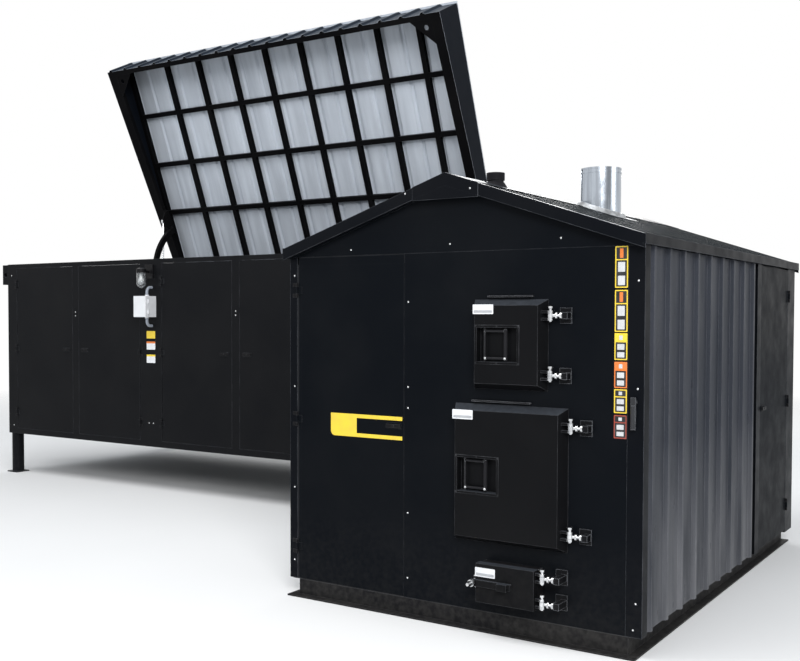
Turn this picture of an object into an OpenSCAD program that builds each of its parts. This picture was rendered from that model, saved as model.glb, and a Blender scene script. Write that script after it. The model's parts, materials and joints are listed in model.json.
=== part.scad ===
// Outdoor wood boiler in a gabled steel house, with a chip bin beside it.
// The bin's hinged lid stands open. X runs across the front, Y to the back
// and Z up. The origin is at the middle of the house skid, on the ground.

/* [House] */
// Width of the house over its walls
house_w = 2100; // [2000:10:2200]
// Depth of the house over its walls
house_d = 3070; // [2950:10:3200]
// Height of the steel skid under the walls
skid_h = 95; // [80:1:120]
// Width of the skid's toe that stands out on the ground
skid_toe = 50; // [30:1:70]
// Thickness of the skid's steel
skid_t = 8; // [6:1:12]
// Height of the wall tops above the ground
eave_h = 1940; // [1900:5:2000]
// Rise of the roof for each metre of run
roof_rise = 333; // [280:1:360]
// Height of the rafters between the wall tops and the roof sheets
rafter_h = 25; // [20:1:40]
// How far the roof stands out past the front and rear walls
gable_over = 50; // [40:1:80]
// How far the roof stands out past the side walls
eave_over = 20; // [15:1:40]
// Width of the face of the square frame tube
tube = 50; // [40:1:55]
// Wall of the frame tube
tube_t = 3; // [2:0.5:4]

/* [Sheets] */
// Thickness of flat panels and trims
sheet = 2; // [1.5:0.5:3]
// Thickness of the ribbed siding
rib_t = 1.2; // [1:0.1:2]
// Distance between two ribs of the siding
rib_pitch = 229; // [200:1:250]
// Height of a rib
rib_h = 19; // [14:1:22]
// Width of a rib at its top
rib_top = 22; // [16:1:30]
// Width of a rib at its foot
rib_foot = 58; // [46:1:70]
// Width of the corner trim on the front left
trim_left = 50; // [45:1:60]
// Width of the corner trim on the front right
trim_right = 80; // [70:1:90]
// Width of the corner trims on the side walls
trim_side = 67; // [55:1:80]
// Width of the rear corner trims on the side walls
trim_rear = 197; // [160:1:200]
// Width of the trim between the siding and the rear compartment
trim_mid = 90; // [80:1:110]
// Width of the opening into the rear compartment
rear_door_w = 734; // [690:1:760]
// Height of the eave fascia
fascia_h = 49; // [46:1:60]
// Depth of the gable trims
rake_h = 64; // [50:1:80]
// Half width of the plate over each peak
peak_w = 195; // [150:1:240]

/* [Front doors] */
// Distance of the door column to the right of the middle
door_x = 360; // [340:1:370]
// Depth of the dished doors
dish_d = 62; // [58:1:75]
// Width of the bevel round each dished door
bevel = 30; // [20:1:34]
// Width of the upper door's face
upper_w = 350; // [330:1:370]
// Height of the upper door's face
upper_h = 392; // [370:1:410]
// Height of the upper door's middle above the ground
upper_z = 1461; // [1455:1:1470]
// Width of the main door's face
main_w = 570; // [550:1:590]
// Height of the main door's face
main_h = 645; // [620:1:660]
// Height of the main door's middle above the ground
main_z = 804; // [795:1:810]
// Width of the ash door
ash_w = 320; // [300:1:340]
// Height of the ash door
ash_h = 195; // [185:1:205]
// Height of the ash door's middle above the ground
ash_z = 268; // [262:1:272]
// Distance of the ash door to the right of the middle
ash_x = 385; // [375:1:395]
// Depth of the ash door's pan
ash_d = 50; // [40:1:60]
// Wall of the steel collars behind the doors
collar_t = 8; // [6:1:12]
// Space between a collar and the plug on the back of its door
plug_gap = 16; // [14:1:24]
// Depth of the plugs on the backs of the doors
plug_d = 40; // [30:1:45]
// Width of the recess for a handle
pocket_w = 225; // [210:1:235]
// Height of the recess for a handle
pocket_h = 172; // [160:1:180]
// Depth of the recess for a handle
pocket_d = 44; // [38:1:48]
// Height of a handle's loop
loop_h = 152; // [140:1:158]
// Width of a handle's loop
loop_w = 128; // [115:1:140]
// Radius of the hinge pins
pin_r = 8; // [7:0.5:10]
// Radial clearance of pins and shafts in their bores
run = 0.08; // [0.05:0.01:0.09]
// Distance of a hinge pin from the edge of its door
pin_out = 26; // [24:1:32]

/* [Sheet doors] */
// Depth of the folded edges of the sheet doors
fold = 20; // [14:1:24]
// Gap round a sheet door
door_gap = 3; // [2:0.5:4]
// Radius of the sheet door hinges' pins
knuckle_pin = 3; // [2.5:0.5:4]
// Radius of the sheet door hinges' barrels
knuckle_r = 6; // [5.5:0.5:7]
// Radius of a latch shaft
latch_r = 7; // [6:0.5:9]
// Length of a latch's handle
latch_len = 90; // [80:1:100]

/* [Boiler] */
// Width of the water jacket
jacket_w = 1120; // [1080:5:1150]
// Thickness of the jacket's plates
plate = 6; // [5:1:10]
// Water space between the jacket's plates
water = 54; // [45:1:60]
// Underside of the jacket above the ground
jacket_z = 130; // [120:1:140]
// Top of the jacket above the ground
jacket_top = 1760; // [1740:5:1780]
// Distance of the jacket's front from the front wall
jacket_front = 75; // [70:1:100]
// Length of the jacket
jacket_len = 1880; // [1800:10:1900]
// Top of the grate above the ground
grate_z = 450; // [430:1:460]
// Top of the firebox above the ground
fire_top = 1160; // [1145:1:1170]
// Depth of the smoke box behind the upper door
smoke_front = 220; // [200:1:240]
// Distance of the flue from the middle, to the right
flue_x = 200; // [180:1:240]
// Distance of the flue behind the middle of the house
flue_y = 20; // [0:1:40]
// Outer radius of the chimney
flue_r = 125; // [120:1:135]
// Inner radius of the chimney
flue_bore = 102; // [90:1:108]
// Top of the chimney above the ground
flue_top = 2535; // [2500:5:2700]
// Outer radius of the heating pipes
pipe_r = 21; // [17:0.5:24]
// Bore radius of the heating pipes
pipe_bore = 17.5; // [13:0.5:19]

/* [Feed] */
// Distance of the feed auger behind the middle of the house
feed_y = 1000; // [980:5:1020]
// Height of the feed auger above the ground
feed_z = 700; // [690:5:720]
// Outer radius of the feed tube
feed_r = 84; // [80:1:88]
// Wall of the feed tube
feed_t = 6; // [4:1:6]
// Radius of the auger flights
flight_r = 73; // [68:1:73]
// Radius of the auger shafts
shaft_r = 24; // [20:1:26]
// Distance between two turns of a flight
flight_pitch = 190; // [160:5:220]
// Distance of the stoker auger to the right of the middle
stoker_x = 270; // [250:5:290]
// Height of the stoker auger above the ground
stoker_z = 560; // [555:5:570]

/* [Bin] */
// Left end of the bin, to the left of the middle of the house
bin_left = 6410; // [6350:10:6500]
// Width of the bin
bin_w = 4270; // [4200:10:4300]
// Distance of the bin's front behind the middle of the house
bin_front = 504; // [490:1:520]
// Depth of the bin
bin_d = 2440; // [2380:10:2500]
// Underside of the bin above the ground
bin_low = 400; // [380:5:420]
// Top of the bin above the ground
bin_top = 2120; // [2100:5:2150]
// Width of the bin's frame tube
post = 60; // [50:1:64]
// Radius of the legs
leg_r = 57.5; // [50:0.5:60]
// Width of the feet
foot_w = 150; // [140:1:170]
// Width of a bin door
leaf_w = 850; // [830:1:860]
// Width of the stile between a pair of bin doors
stile_w = 86; // [80:1:96]
// Width of the fixed strip left of the first door
margin_left = 140; // [130:1:150]
// Width of the fixed strip left of the third door
margin_mid = 24; // [20:1:34]
// Height of the fixed strip over the doors
strip_top = 40; // [36:1:55]
// Height of the fixed strip under the doors
strip_low = 55; // [50:1:70]

/* [Lid] */
// Angle at which the lid stands open
lid_open = 64; // [58:1:68]
// Height of the lid at its hinge
lid_low = 130; // [120:1:150]
// Height of the lid at its front
lid_high = 350; // [330:1:370]
// Width of the lid's square tubes
bar = 50; // [44:1:54]
// Number of bars across the lid's grid
grid_n = 8; // [6:1:9]
// Distance between two bars of the grid
grid_step = 474.5; // [440:0.5:480]
// Distance of the grid's first bar from the lid's left edge
grid_first = 583; // [540:1:620]
// Distance between two rows of the grid
row_step = 573; // [540:1:600]
// How far the lid stands out past the bin's left end
lid_left = 50; // [30:1:60]
// How far the lid stands out past the bin's right end
lid_right = 40; // [30:1:60]
// How far the lid stands out past the bin's front
lid_front = 14; // [10:1:20]
// Mean radius of the curved lift arm about the hinge
arm_r = 570; // [540:5:600]
// Width of the curved lift arm
arm_w = 64; // [50:1:70]
// Radius of the lift cylinder
ram_r = 31; // [26:0.5:32]
// Radius of the lift rod
rod_r = 14; // [11:0.5:18]

/* [Hidden] */
$fn = 48;

// Places of the house
half_w = house_w / 2;
front_y = -house_d / 2;
rear_y = house_d / 2;
slope = roof_rise / 1000;
pitch_a = atan(slope);
gable_seam = eave_h - 5;
rib_in = half_w - rib_h - rib_t;
siding_y = front_y + trim_side;
siding_len = house_d - trim_side - trim_mid - rear_door_w - trim_rear;
mid_y = siding_y + siding_len;
rear_door_y = mid_y + trim_mid;
rear_trim_y = rear_door_y + rear_door_w;
rib_top_z = (rib_h + rib_t) / cos(pitch_a);
lever_x = half_w - 44;
lever_z = 1205;
eave_x = half_w + eave_over;
roof_y0 = front_y - gable_over;
roof_y1 = rear_y + gable_over;
access_x0 = -half_w + trim_left + sheet;
access_x1 = -276;
column_x = half_w - trim_right;

// Places of the boiler
jacket_x0 = door_x - jacket_w / 2;
jacket_y0 = front_y + jacket_front;
jacket_y1 = jacket_y0 + jacket_len;
fire_x0 = jacket_x0 + plate + water;
fire_w = jacket_w - 2 * (plate + water);
fire_y0 = jacket_y0 + plate + water;
fire_y1 = jacket_y1 - plate - water;
fire_z0 = jacket_z + plate + water / 2;
smoke_z0 = fire_top + 90;
smoke_top = jacket_top - plate - water;
flue_box = 280;

// Places of the bin
bin_x0 = -bin_left;
bin_x1 = bin_x0 + bin_w;
bin_y1 = bin_front + bin_d;
seam_x = bin_x0 + bin_w / 2;
front_low = strip_low - 3;
front_top = strip_top - 2;
leaf_z0 = bin_low + strip_low;
leaf_z1 = bin_top - strip_top;
leaf_x = [
  bin_x0 + margin_left,
  bin_x0 + margin_left + leaf_w + stile_w,
  seam_x + 45 + margin_mid,
  seam_x + 45 + margin_mid + leaf_w + stile_w
];
hinge_y = bin_y1 + 10;
hinge_z = bin_top + 10;
// The lift stands in a bay left of the hopper
hopper_x0 = bin_x0 + 195;

// Places of the lid, as if it lay closed
lid_x0 = bin_x0 - lid_left;
lid_x1 = bin_x1 + lid_right;
lid_y0 = bin_front - lid_front;
lid_in0 = bin_x0 + sheet + post;
lid_in1 = bin_x1 - sheet - post;
lid_y1 = bin_y1 - 10;
lid_z0 = bin_top + sheet;
lid_span = lid_y1 - lid_y0;
lid_slope = (lid_high - lid_low) / lid_span;
lid_a = atan(lid_slope);

// Height of the underside of the roof sheets
function roof_z(x) = eave_h + rafter_h + (half_w - abs(x)) * slope;
// Height of the top of the closed lid's frame at a distance from the front
function lid_top(y) = lid_z0 + lid_high - (y - lid_y0) * lid_slope;

// ---------------------------------------------------------------- helpers

// Outline of ribbed sheet, w long, with its first rib's middle at first
function rib_line(w, first, h) = concat(
  [[0, 0]],
  [for (c = [first:rib_pitch:w - rib_foot / 2 - 1])
    each [[c - rib_foot / 2, 0], [c - rib_top / 2, h],
          [c + rib_top / 2, h], [c + rib_foot / 2, 0]]],
  [[w, 0]]);

// Ribbed sheet along X with its ribs standing up Z and facing -Y
module ribbed(w, len, first = 70) {
  line = rib_line(w, first, rib_h);
  back = [for (i = [len(line) - 1:-1:0]) line[i] - [0, rib_t]];
  mirror([0, 1, 0])
    linear_extrude(len)
      polygon(concat(line, back));
}

// Square tube of length len along Z, with its corner at the origin
module tube_z(len, w = tube, d = tube, t = tube_t) {
  linear_extrude(len)
    difference() {
      square([w, d]);
      translate([t, t])
        square([w - 2 * t, d - 2 * t]);
    }
}

// The same tube along X and along Y
module tube_x(len, w = tube, d = tube, t = tube_t) {
  rotate([90, 0, 90])
    tube_z(len, w, d, t);
}
module tube_y(len, w = tube, d = tube, t = tube_t) {
  translate([0, len, 0])
    rotate([90, 0, 0])
      tube_z(len, w, d, t);
}

// Plate with rectangular cut-outs, given as [x, z, w, h], standing in XZ
module cut_sheet(w, h, t, cuts = []) {
  difference() {
    cube([w, t, h]);
    for (c = cuts)
      translate([c[0], -1, c[1]])
        cube([c[2], t + 2, c[3]]);
  }
}

// Roof-shaped band between two heights over the roof line
module roof_band(half, low, high, depth) {
  rotate([90, 0, 0])
    translate([0, 0, -depth])
      linear_extrude(depth)
        polygon([
          [-half, roof_z(half) + low], [0, roof_z(0) + low],
          [half, roof_z(half) + low], [half, roof_z(half) + high],
          [0, roof_z(0) + high], [-half, roof_z(half) + high]]);
}

// Rectangle in XZ that narrows towards the front, with flat bevels
module dish(w, h, d, b) {
  intersection() {
    translate([0, 0, -h])
      linear_extrude(2 * h)
        polygon([[-w / 2 - b, 0], [w / 2 + b, 0], [w / 2, -d], [-w / 2, -d]]);
    rotate([90, 0, 90])
      translate([0, 0, -w])
        linear_extrude(2 * w)
          polygon([[0, -h / 2 - b], [0, h / 2 + b], [-d, h / 2], [-d, -h / 2]]);
  }
}

// Round bar along an axis through the origin
module bar_x(r, len) {
  rotate([0, 90, 0])
    cylinder(r = r, h = len);
}
module bar_y(r, len) {
  rotate([-90, 0, 0])
    cylinder(r = r, h = len);
}

// Hexagon nut along -Y, its foot at the origin
module nut_y(af, len) {
  rotate([90, 0, 0])
    cylinder(r = af / sqrt(3), h = len, $fn = 6);
}

// ---------------------------------------------------------- house shell

module base_skid() {
  web_x = half_w - skid_toe - 15;
  color("#17181a") {
    for (s = [-1, 1])
      translate([s < 0 ? -web_x : web_x - skid_t, front_y, 0])
        cube([skid_t, house_d, skid_h - 3]);
    for (s = [-1, 1])
      translate([s < 0 ? -web_x - skid_toe : web_x, front_y - skid_toe, 0])
        cube([skid_toe, house_d + skid_toe, skid_t]);
    translate([-web_x, front_y, 0])
      cube([2 * web_x, skid_t, skid_h - 3]);
    translate([-web_x, front_y - skid_toe, 0])
      cube([2 * web_x, skid_toe, skid_t]);
    translate([-web_x, rear_y - skid_t, 0])
      cube([2 * web_x, skid_t, skid_h - 3]);
    for (k = [1:5])
      translate([-web_x + skid_t, front_y + k * house_d / 6 - skid_t / 2, 0])
        cube([2 * (web_x - skid_t), skid_t, skid_h - 3]);
  }
}

module floor_pan() {
  color("#1c1d20")
    translate([-half_w + rib_h + rib_t, front_y + sheet, skid_h - 3])
      cube([house_w - 2 * (rib_h + rib_t), house_d - 2 * sheet, 3]);
}

module house_frame() {
  x0 = -rib_in;
  x1 = rib_in - tube;
  y0 = front_y + sheet;
  y1 = rear_y - sheet - tube;
  posts = [y0, mid_y + 10, y1];
  color("#202124") {
    difference() {
      for (x = [x0, x1])
        for (y = posts)
          translate([x, y, skid_h])
            tube_z(eave_h - tube - skid_h);
      // bore for the bolt of the lever on the front right corner
      translate([lever_x, front_y, lever_z])
        bar_y(6 + run, 20);
    }
    for (x = [x0, x1])
      translate([x, y0, eave_h - tube])
        tube_y(house_d - 2 * sheet);
    for (y = [y0, y1])
      translate([x0 + tube, y, eave_h - tube])
        tube_x(2 * rib_in - 2 * tube);
    for (y = [y0, -house_d / 6, house_d / 6, y1])
      translate([0, y, 0])
        roof_band(rib_in, -rafter_h - 9, -0.1, tube);
  }
}

module front_panel() {
  x0 = access_x1 + door_gap;
  color("#15161a")
    translate([x0, front_y, skid_h])
      cut_sheet(column_x + 20 - x0, gable_seam - skid_h, sheet, [
        for (d = door_holes()) [d[0] - x0, d[1] - skid_h, d[2], d[3]]]);
}

// Outer sizes of the collars, as [left, bottom, width, height]
function collar(w, h, z, x = door_x) = [
  x - w / 2 + 4, z - h / 2 + 4, w - 8, h - 8];
function door_holes() = [
  collar(upper_w, upper_h, upper_z),
  collar(main_w, main_h, main_z),
  collar(ash_w, ash_h, ash_z, ash_x)];

module gable_panels() {
  color("#15161a")
    for (y = [front_y, rear_y - sheet])
      translate([0, y + sheet, 0])
        rotate([90, 0, 0])
          linear_extrude(sheet)
            polygon([
              [-half_w, gable_seam], [half_w, gable_seam],
              [half_w, roof_z(half_w)], [0, roof_z(0)],
              [-half_w, roof_z(half_w)]]);
}

module side_siding() {
  color("#8f949b")
    for (s = [0, 1])
      mirror([s, 0, 0])
        translate([rib_in + rib_t, siding_y - 10, skid_h])
          rotate([0, 0, 90])
            ribbed(siding_len + 20, eave_h - 2 - skid_h, 86);
}

module rear_panels() {
  hole_r = feed_r + 4;
  color("#17181c") {
    difference() {
      translate([-half_w + sheet, rear_y - sheet, skid_h])
        cube([house_w - 2 * sheet, sheet, gable_seam - skid_h]);
      for (p = pipe_runs())
        translate([p[0], rear_y - 10, p[1]])
          bar_y(pipe_r + 3, 20);
    }
    difference() {
      translate([-rib_in - sheet, mid_y + 10, skid_h])
        cube([sheet, rear_y - sheet - mid_y - 10, eave_h - 2 - skid_h]);
      translate([-rib_in - 20, feed_y, feed_z])
        bar_x(hole_r, 40);
    }
  }
}

// L-shaped trim with its corner at the origin, legs along +X and +Y
module trim(a, b, h) {
  linear_extrude(h)
    polygon([[0, 0], [a, 0], [a, sheet], [sheet, sheet], [sheet, b], [0, b]]);
}

module corner_trims() {
  h = eave_h - 3 - skid_h;
  x = half_w + sheet;
  rear_leg = rear_y + sheet - rear_trim_y;
  color("#101114")
    translate([0, 0, skid_h]) {
      translate([-x, front_y - sheet, 0])
        trim(trim_left + sheet, trim_side + sheet, h);
      difference() {
        translate([x, front_y - sheet, 0])
          mirror([1, 0, 0])
            trim(trim_right + sheet, trim_side + sheet, h);
        translate([lever_x, front_y - 5, lever_z - skid_h])
          bar_y(6 + run, 10);
      }
      for (s = [0, 1])
        mirror([s, 0, 0]) {
          // return that closes the trim onto the siding
          translate([rib_in + rib_t, siding_y - sheet, 0])
            cube([rib_h, sheet, h]);
          translate([x, rear_y + sheet, 0])
            mirror([1, 0, 0])
              mirror([0, 1, 0])
                trim(trim_side, rear_leg, h);
          // trim between the siding and the rear compartment
          translate([half_w, mid_y, 0])
            cube([sheet, trim_mid, h]);
          for (y = [mid_y + 12, mid_y + trim_mid - sheet, rear_trim_y])
            translate([rib_in + s * sheet, y, 0])
              cube([half_w - rib_in - s * sheet, sheet, h]);
        }
    }
}

module roof_panels() {
  len = (eave_x - sheet) / cos(pitch_a) - 21;
  hole = flue_r + 1;
  color("#1b2320")
    for (s = [0, 1])
      difference() {
        mirror([s, 0, 0])
          translate([0, roof_y0 + sheet, roof_z(0)])
            rotate([0, pitch_a, 0])
              translate([12, 0, rib_t])
                rotate([90, 0, 90])
                  mirror([0, 1, 0])
                    ribbed(roof_y1 - roof_y0 - 2 * sheet, len, 138);
        translate([flue_x, flue_y, 0])
          cylinder(r = hole, h = 3000);
        translate([vent_x, vent_y, 0])
          cylinder(r = vent_r + 1, h = 3000);
      }
}

module ridge_cap() {
  hw = 150;
  difference() {
    translate([0, roof_y0, 0])
      roof_band(hw, rib_top_z + 2.4, rib_top_z + 4.4, roof_y1 - roof_y0);
    translate([vent_x, vent_y, 0])
      cylinder(r = vent_r + 1, h = 3000);
    translate([flue_x, flue_y, 0])
      cylinder(r = flue_r + 45, h = 3000);
  }
}

// Ridge cap, eave fascias, gable trims and peak plates
module roof_trims() {
  color("#101114") {
    ridge_cap();
    eave_trims();
  }
}

module eave_trims() {
  top = rib_top_z + 0.2;
  low_z = roof_z(0) + top - rake_h - 68;
  // front and rear gable trims: face, flange over the ribs, soffit
  for (s = [0, 1])
    mirror([0, s, 0])
      translate([0, roof_y0, 0]) {
        roof_band(eave_x - sheet, top + 2 - rake_h, top + 2, sheet);
        translate([0, sheet, 0])
          roof_band(eave_x - sheet, top, top + 2, 60);
        translate([0, sheet, 0])
          roof_band(half_w, top + 2 - rake_h, top + 4 - rake_h, gable_over - 4.3);
        // plate over the peak
        rotate([90, 0, 0])
          linear_extrude(sheet)
            polygon([
              [-peak_w, low_z], [peak_w, low_z],
              [peak_w, roof_z(peak_w) + top + 4.2], [0, roof_z(0) + top + 4.2],
              [-peak_w, roof_z(peak_w) + top + 4.2]]);
      }
  // fascias along the eaves
  for (s = [0, 1])
    mirror([s, 0, 0])
      translate([eave_x - sheet, roof_y0, eave_h - 2])
        rotate([90, 0, 0])
          mirror([0, 0, 1])
            linear_extrude(roof_y1 - roof_y0)
              polygon([
                [sheet, 0], [sheet, fascia_h], [-6, fascia_h],
                [-6, fascia_h - sheet], [0, fascia_h - sheet],
                [0, sheet], [-eave_over + 2 * sheet, sheet],
                [-eave_over + 2 * sheet, 0]]);
}

// ------------------------------------------------------ chimney and vent

vent_x = 40;
vent_y = -1100;
vent_r = 44;

module chimney_pipe() {
  h = flue_top - jacket_top;
  color("#c9ccd0")
    translate([flue_x, flue_y, jacket_top])
      difference() {
        union() {
          cylinder(r = flue_r, h = h);
          translate([0, 0, h - 34])
            cylinder(r = flue_r + 3, h = 8);
          translate([0, 0, h - 10])
            cylinder(r = flue_r + 2, h = 10);
        }
        translate([0, 0, -1])
          cylinder(r = flue_bore, h = h + 2);
      }
}

module chimney_flashing() {
  w = 380;
  color("#b9bdc2")
    difference() {
      translate([flue_x, flue_y, roof_z(flue_x) + rib_top_z + 0.3])
        rotate([0, pitch_a, 0]) {
          translate([-w / 2, -w / 2, 0])
            cube([w, w, 1.8]);
          cylinder(r1 = flue_r + 44, r2 = flue_r + 20, h = 26);
        }
      translate([flue_x, flue_y, roof_z(flue_x) - 200])
        cylinder(r = flue_r + 0.3, h = 500);
    }
}

module roof_vent() {
  z = roof_z(vent_x);
  color("#0f1012") {
    translate([vent_x, vent_y, 0]) {
      difference() {
        translate([0, 0, z - 60])
          cylinder(r = vent_r, h = 120);
        translate([0, 0, z - 61])
          cylinder(r = vent_r - 3, h = 112);
      }
      translate([0, 0, z + 48])
        cylinder(r = vent_r + 6, h = 40);
    }
    // boot that sits on the ridge cap round the pipe
    difference() {
      translate([vent_x, vent_y, z - 20])
        cylinder(r1 = 84, r2 = vent_r + 1, h = 60);
      translate([vent_x, vent_y, z - 30])
        cylinder(r = vent_r - 1.5, h = 120);
      translate([0, vent_y - 200, 0])
        roof_band(180, -200, rib_top_z + 4.7, 400);
    }
  }
}

// ---------------------------------------------------------------- boiler

// Openings through the front of the jacket, as the collars' inner sizes
module collar_voids(grow, y0, len) {
  for (d = door_holes())
    translate([d[0] + collar_t - grow, y0, d[1] + collar_t - grow])
      cube([d[2] - 2 * (collar_t - grow), len, d[3] - 2 * (collar_t - grow)]);
}

// The jacket's gas spaces, swelled by grow
module gas_spaces(grow) {
  g = grow;
  translate([fire_x0 - g, fire_y0 - g, fire_z0 - g])
    cube([fire_w + 2 * g, fire_y1 - fire_y0 + 2 * g, fire_top - fire_z0 + 2 * g]);
  translate([fire_x0 - g, fire_y0 - g, smoke_z0 - g])
    cube([fire_w + 2 * g, smoke_front + 2 * g, smoke_top - smoke_z0 + 2 * g]);
  translate([fire_x0 - g, flue_y - flue_box / 2 - g, smoke_z0 - g])
    cube([fire_w + 2 * g, flue_box + 2 * g, smoke_top - smoke_z0 + 2 * g]);
  // throat from the firebox to the front smoke box
  translate([door_x - 250 - g, fire_y0 + 20 - g, fire_top - 20])
    cube([500 + 2 * g, smoke_front - 60 + 2 * g, smoke_z0 - fire_top + 40]);
  // flue stub and stoker port
  translate([flue_x, flue_y, smoke_top - 20])
    cylinder(r = flue_bore + g, h = jacket_top - smoke_top + 20);
  translate([stoker_x, fire_y1 - 20, stoker_z])
    bar_y(flight_r + 10 + g, jacket_y1 - fire_y1 + 20);
  translate([blower_x, fire_y1 - 20, blower_z + 60])
    bar_y(30 + g, jacket_y1 - fire_y1 + 20);
}

// Middles of the smoke tubes, as [x, z]
function smoke_tubes() = [
  for (i = [0:5])
    for (j = [0:2])
      [door_x - 375 + 150 * i, smoke_z0 + 90 + 125 * j]];
smoke_tube_r = 32;

// Narrow seams between the jacket's plates
module seams() {
  g = 0.1;
  k = 2 * g;
  h = jacket_top - jacket_z + 2;
  len = fire_y1 - fire_y0;
  for (y = [fire_y0, fire_y1])
    translate([jacket_x0 - 1, y - g, jacket_z - 1])
      cube([jacket_w + 2, k, h]);
  for (x = [fire_x0, fire_x0 + fire_w])
    translate([x - g, fire_y0, jacket_z - 1])
      cube([k, len, h]);
  for (z = [fire_z0, smoke_z0, smoke_top])
    translate([fire_x0, fire_y0, z - g])
      cube([fire_w, len, k]);
  // round the throat
  translate([0, fire_y0, fire_top - 1]) {
    translate([fire_x0, smoke_front - 40 - g, 0])
      cube([fire_w, k, 92]);
    for (x = [-250, 250])
      translate([door_x + x - g, 0, 0])
        cube([k, smoke_front - 40, 92]);
  }
}

// Outer plates of the jacket, its lining and the legs that it stands on
module water_jacket() {
  ports = pipe_runs();
  tube_y0 = fire_y0 + smoke_front;
  tube_y1 = flue_y - flue_box / 2;
  color("#3a3d40")
    difference() {
      union() {
        difference() {
          translate([jacket_x0, jacket_y0, jacket_z])
            cube([jacket_w, jacket_len, jacket_top - jacket_z]);
          difference() {
            translate([jacket_x0 + plate, jacket_y0 + plate, jacket_z + plate])
              cube([jacket_w - 2 * plate, jacket_len - 2 * plate,
                    jacket_top - jacket_z - 2 * plate]);
            gas_spaces(plate);
            collar_voids(plate, jacket_y0, 2 * plate + water);
          }
        }
        for (x = [jacket_x0 + 40, jacket_x0 + jacket_w - 120])
          for (y = [jacket_y0 + 60, jacket_y1 - 160])
            translate([x, y, skid_h])
              cube([80, 100, jacket_z - skid_h - 0.2]);
      }
      seams();
      gas_spaces(0);
      collar_voids(0, jacket_y0 - 1, plate + water + plate + 2);
      for (p = ports)
        translate([p[0], jacket_y1 - plate - 1, p[1]])
          bar_y(pipe_r + 0.3, plate + 2);
      for (t = smoke_tubes())
        translate([t[0], tube_y0 - 1, t[1]])
          bar_y(smoke_tube_r + 0.3, tube_y1 - tube_y0 + 2);
    }
}

module heat_tubes() {
  tube_y0 = fire_y0 + smoke_front;
  tube_y1 = flue_y - flue_box / 2;
  color("#5a5d60")
    for (t = smoke_tubes())
      translate([t[0], tube_y0, t[1]])
        difference() {
          bar_y(smoke_tube_r, tube_y1 - tube_y0);
          translate([0, -1, 0])
            bar_y(smoke_tube_r - 4, tube_y1 - tube_y0 + 2);
        }
}

module fire_grate() {
  w = fire_w - 8;
  d = fire_y1 - fire_y0 - 8;
  bars = 18;
  color("#2b2725")
    translate([fire_x0 + 4, fire_y0 + 4, 0]) {
      difference() {
        translate([0, 0, grate_z - 24])
          cube([w, d, 24]);
        for (i = [0:bars - 1])
          for (j = [0, 1])
            translate([30 + i * (w - 60) / bars, 30 + j * (d - 30) / 2, grate_z - 30])
              cube([(w - 60) / bars - 24, (d - 90) / 2, 40]);
      }
      for (x = [0, w - 20])
        for (y = [0, d / 2 - 10, d - 20])
          translate([x, y, fire_z0])
            cube([20, 20, grate_z - 24 - fire_z0]);
    }
}

// -------------------------------------------------------- front fittings

// Places of the three front hinges, as [pin x, heights]
function pin_x(w) = door_x + w / 2 + bevel + pin_out;
pin_y = front_y - 36;
function hinge_list() = [
  [pin_x(upper_w), [upper_z - 146, upper_z + 146]],
  [pin_x(main_w), [main_z - 262, main_z + 262]],
  [ash_x + ash_w / 2 + pin_out + 8, [ash_z - 62, ash_z + 62]]];
ash_pin_y = front_y - 84;

module door_collars() {
  color("#1a1b1e") {
    for (k = [0:2]) {
      d = door_holes()[k];
      out = k == 2 ? 58 : 0;
      translate([d[0], front_y - out, d[1]])
        difference() {
          cube([d[2], jacket_front + out, d[3]]);
          translate([collar_t, -1, collar_t])
            cube([d[2] - 2 * collar_t, jacket_front + out + 2, d[3] - 2 * collar_t]);
        }
    }
    // drip bars over the two dished doors
    translate([door_x - 125, front_y - 16, upper_z + upper_h / 2 + bevel + 12])
      cube([250, 16, 8]);
    translate([door_x - 215, front_y - 16, main_z + main_h / 2 + bevel + 12])
      cube([330, 16, 8]);
  }
}

swing_x = ash_x - ash_w / 2 - 12;
swing_y = ash_pin_y;

module swing_lug() {
  difference() {
    union() {
      cylinder(r = 13, h = 8);
      translate([0, -9, 0])
        cube([ash_x - ash_w / 2 + 6 - swing_x, 18, 8]);
    }
    translate([0, 0, -1])
      cylinder(r = 6 + run, h = 10);
  }
}

// Eye with a bore for a pin, on a stud that runs to its wall plate
module hinge_bracket(deep) {
  difference() {
    union() {
      translate([0, 0, -11])
        cylinder(r = 15, h = 22);
      bar_x(8, 84);
    }
    translate([0, 0, -12])
      cylinder(r = pin_r + run, h = 24);
  }
  translate([66, -14, -16])
    cube([28, deep + 14, 32]);
  translate([36, deep - 6, -38])
    cube([62, 6, 76]);
  for (x = [30, 54])
    translate([x, 0, 0])
      bar_x(17, 10);
}

module hinge_brackets() {
  color("#9da1a6")
    for (k = [0:2]) {
      h = hinge_list()[k];
      y = k == 2 ? ash_pin_y : pin_y;
      for (z = h[1])
        translate([h[0], y, z])
          hinge_bracket(front_y - y);
    }
}

// Hinge strap on a door: two lugs and the pin between them
module door_strap(reach) {
  for (z = [-24, 12])
    translate([0, 0, z]) {
      cylinder(r = 14, h = 12);
      translate([-reach, -8, 0])
        cube([reach, 16, 12]);
    }
  translate([0, 0, -30])
    cylinder(r = pin_r, h = 66);
  translate([0, 0, 36])
    cylinder(r = 13, h = 9);
}

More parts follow.
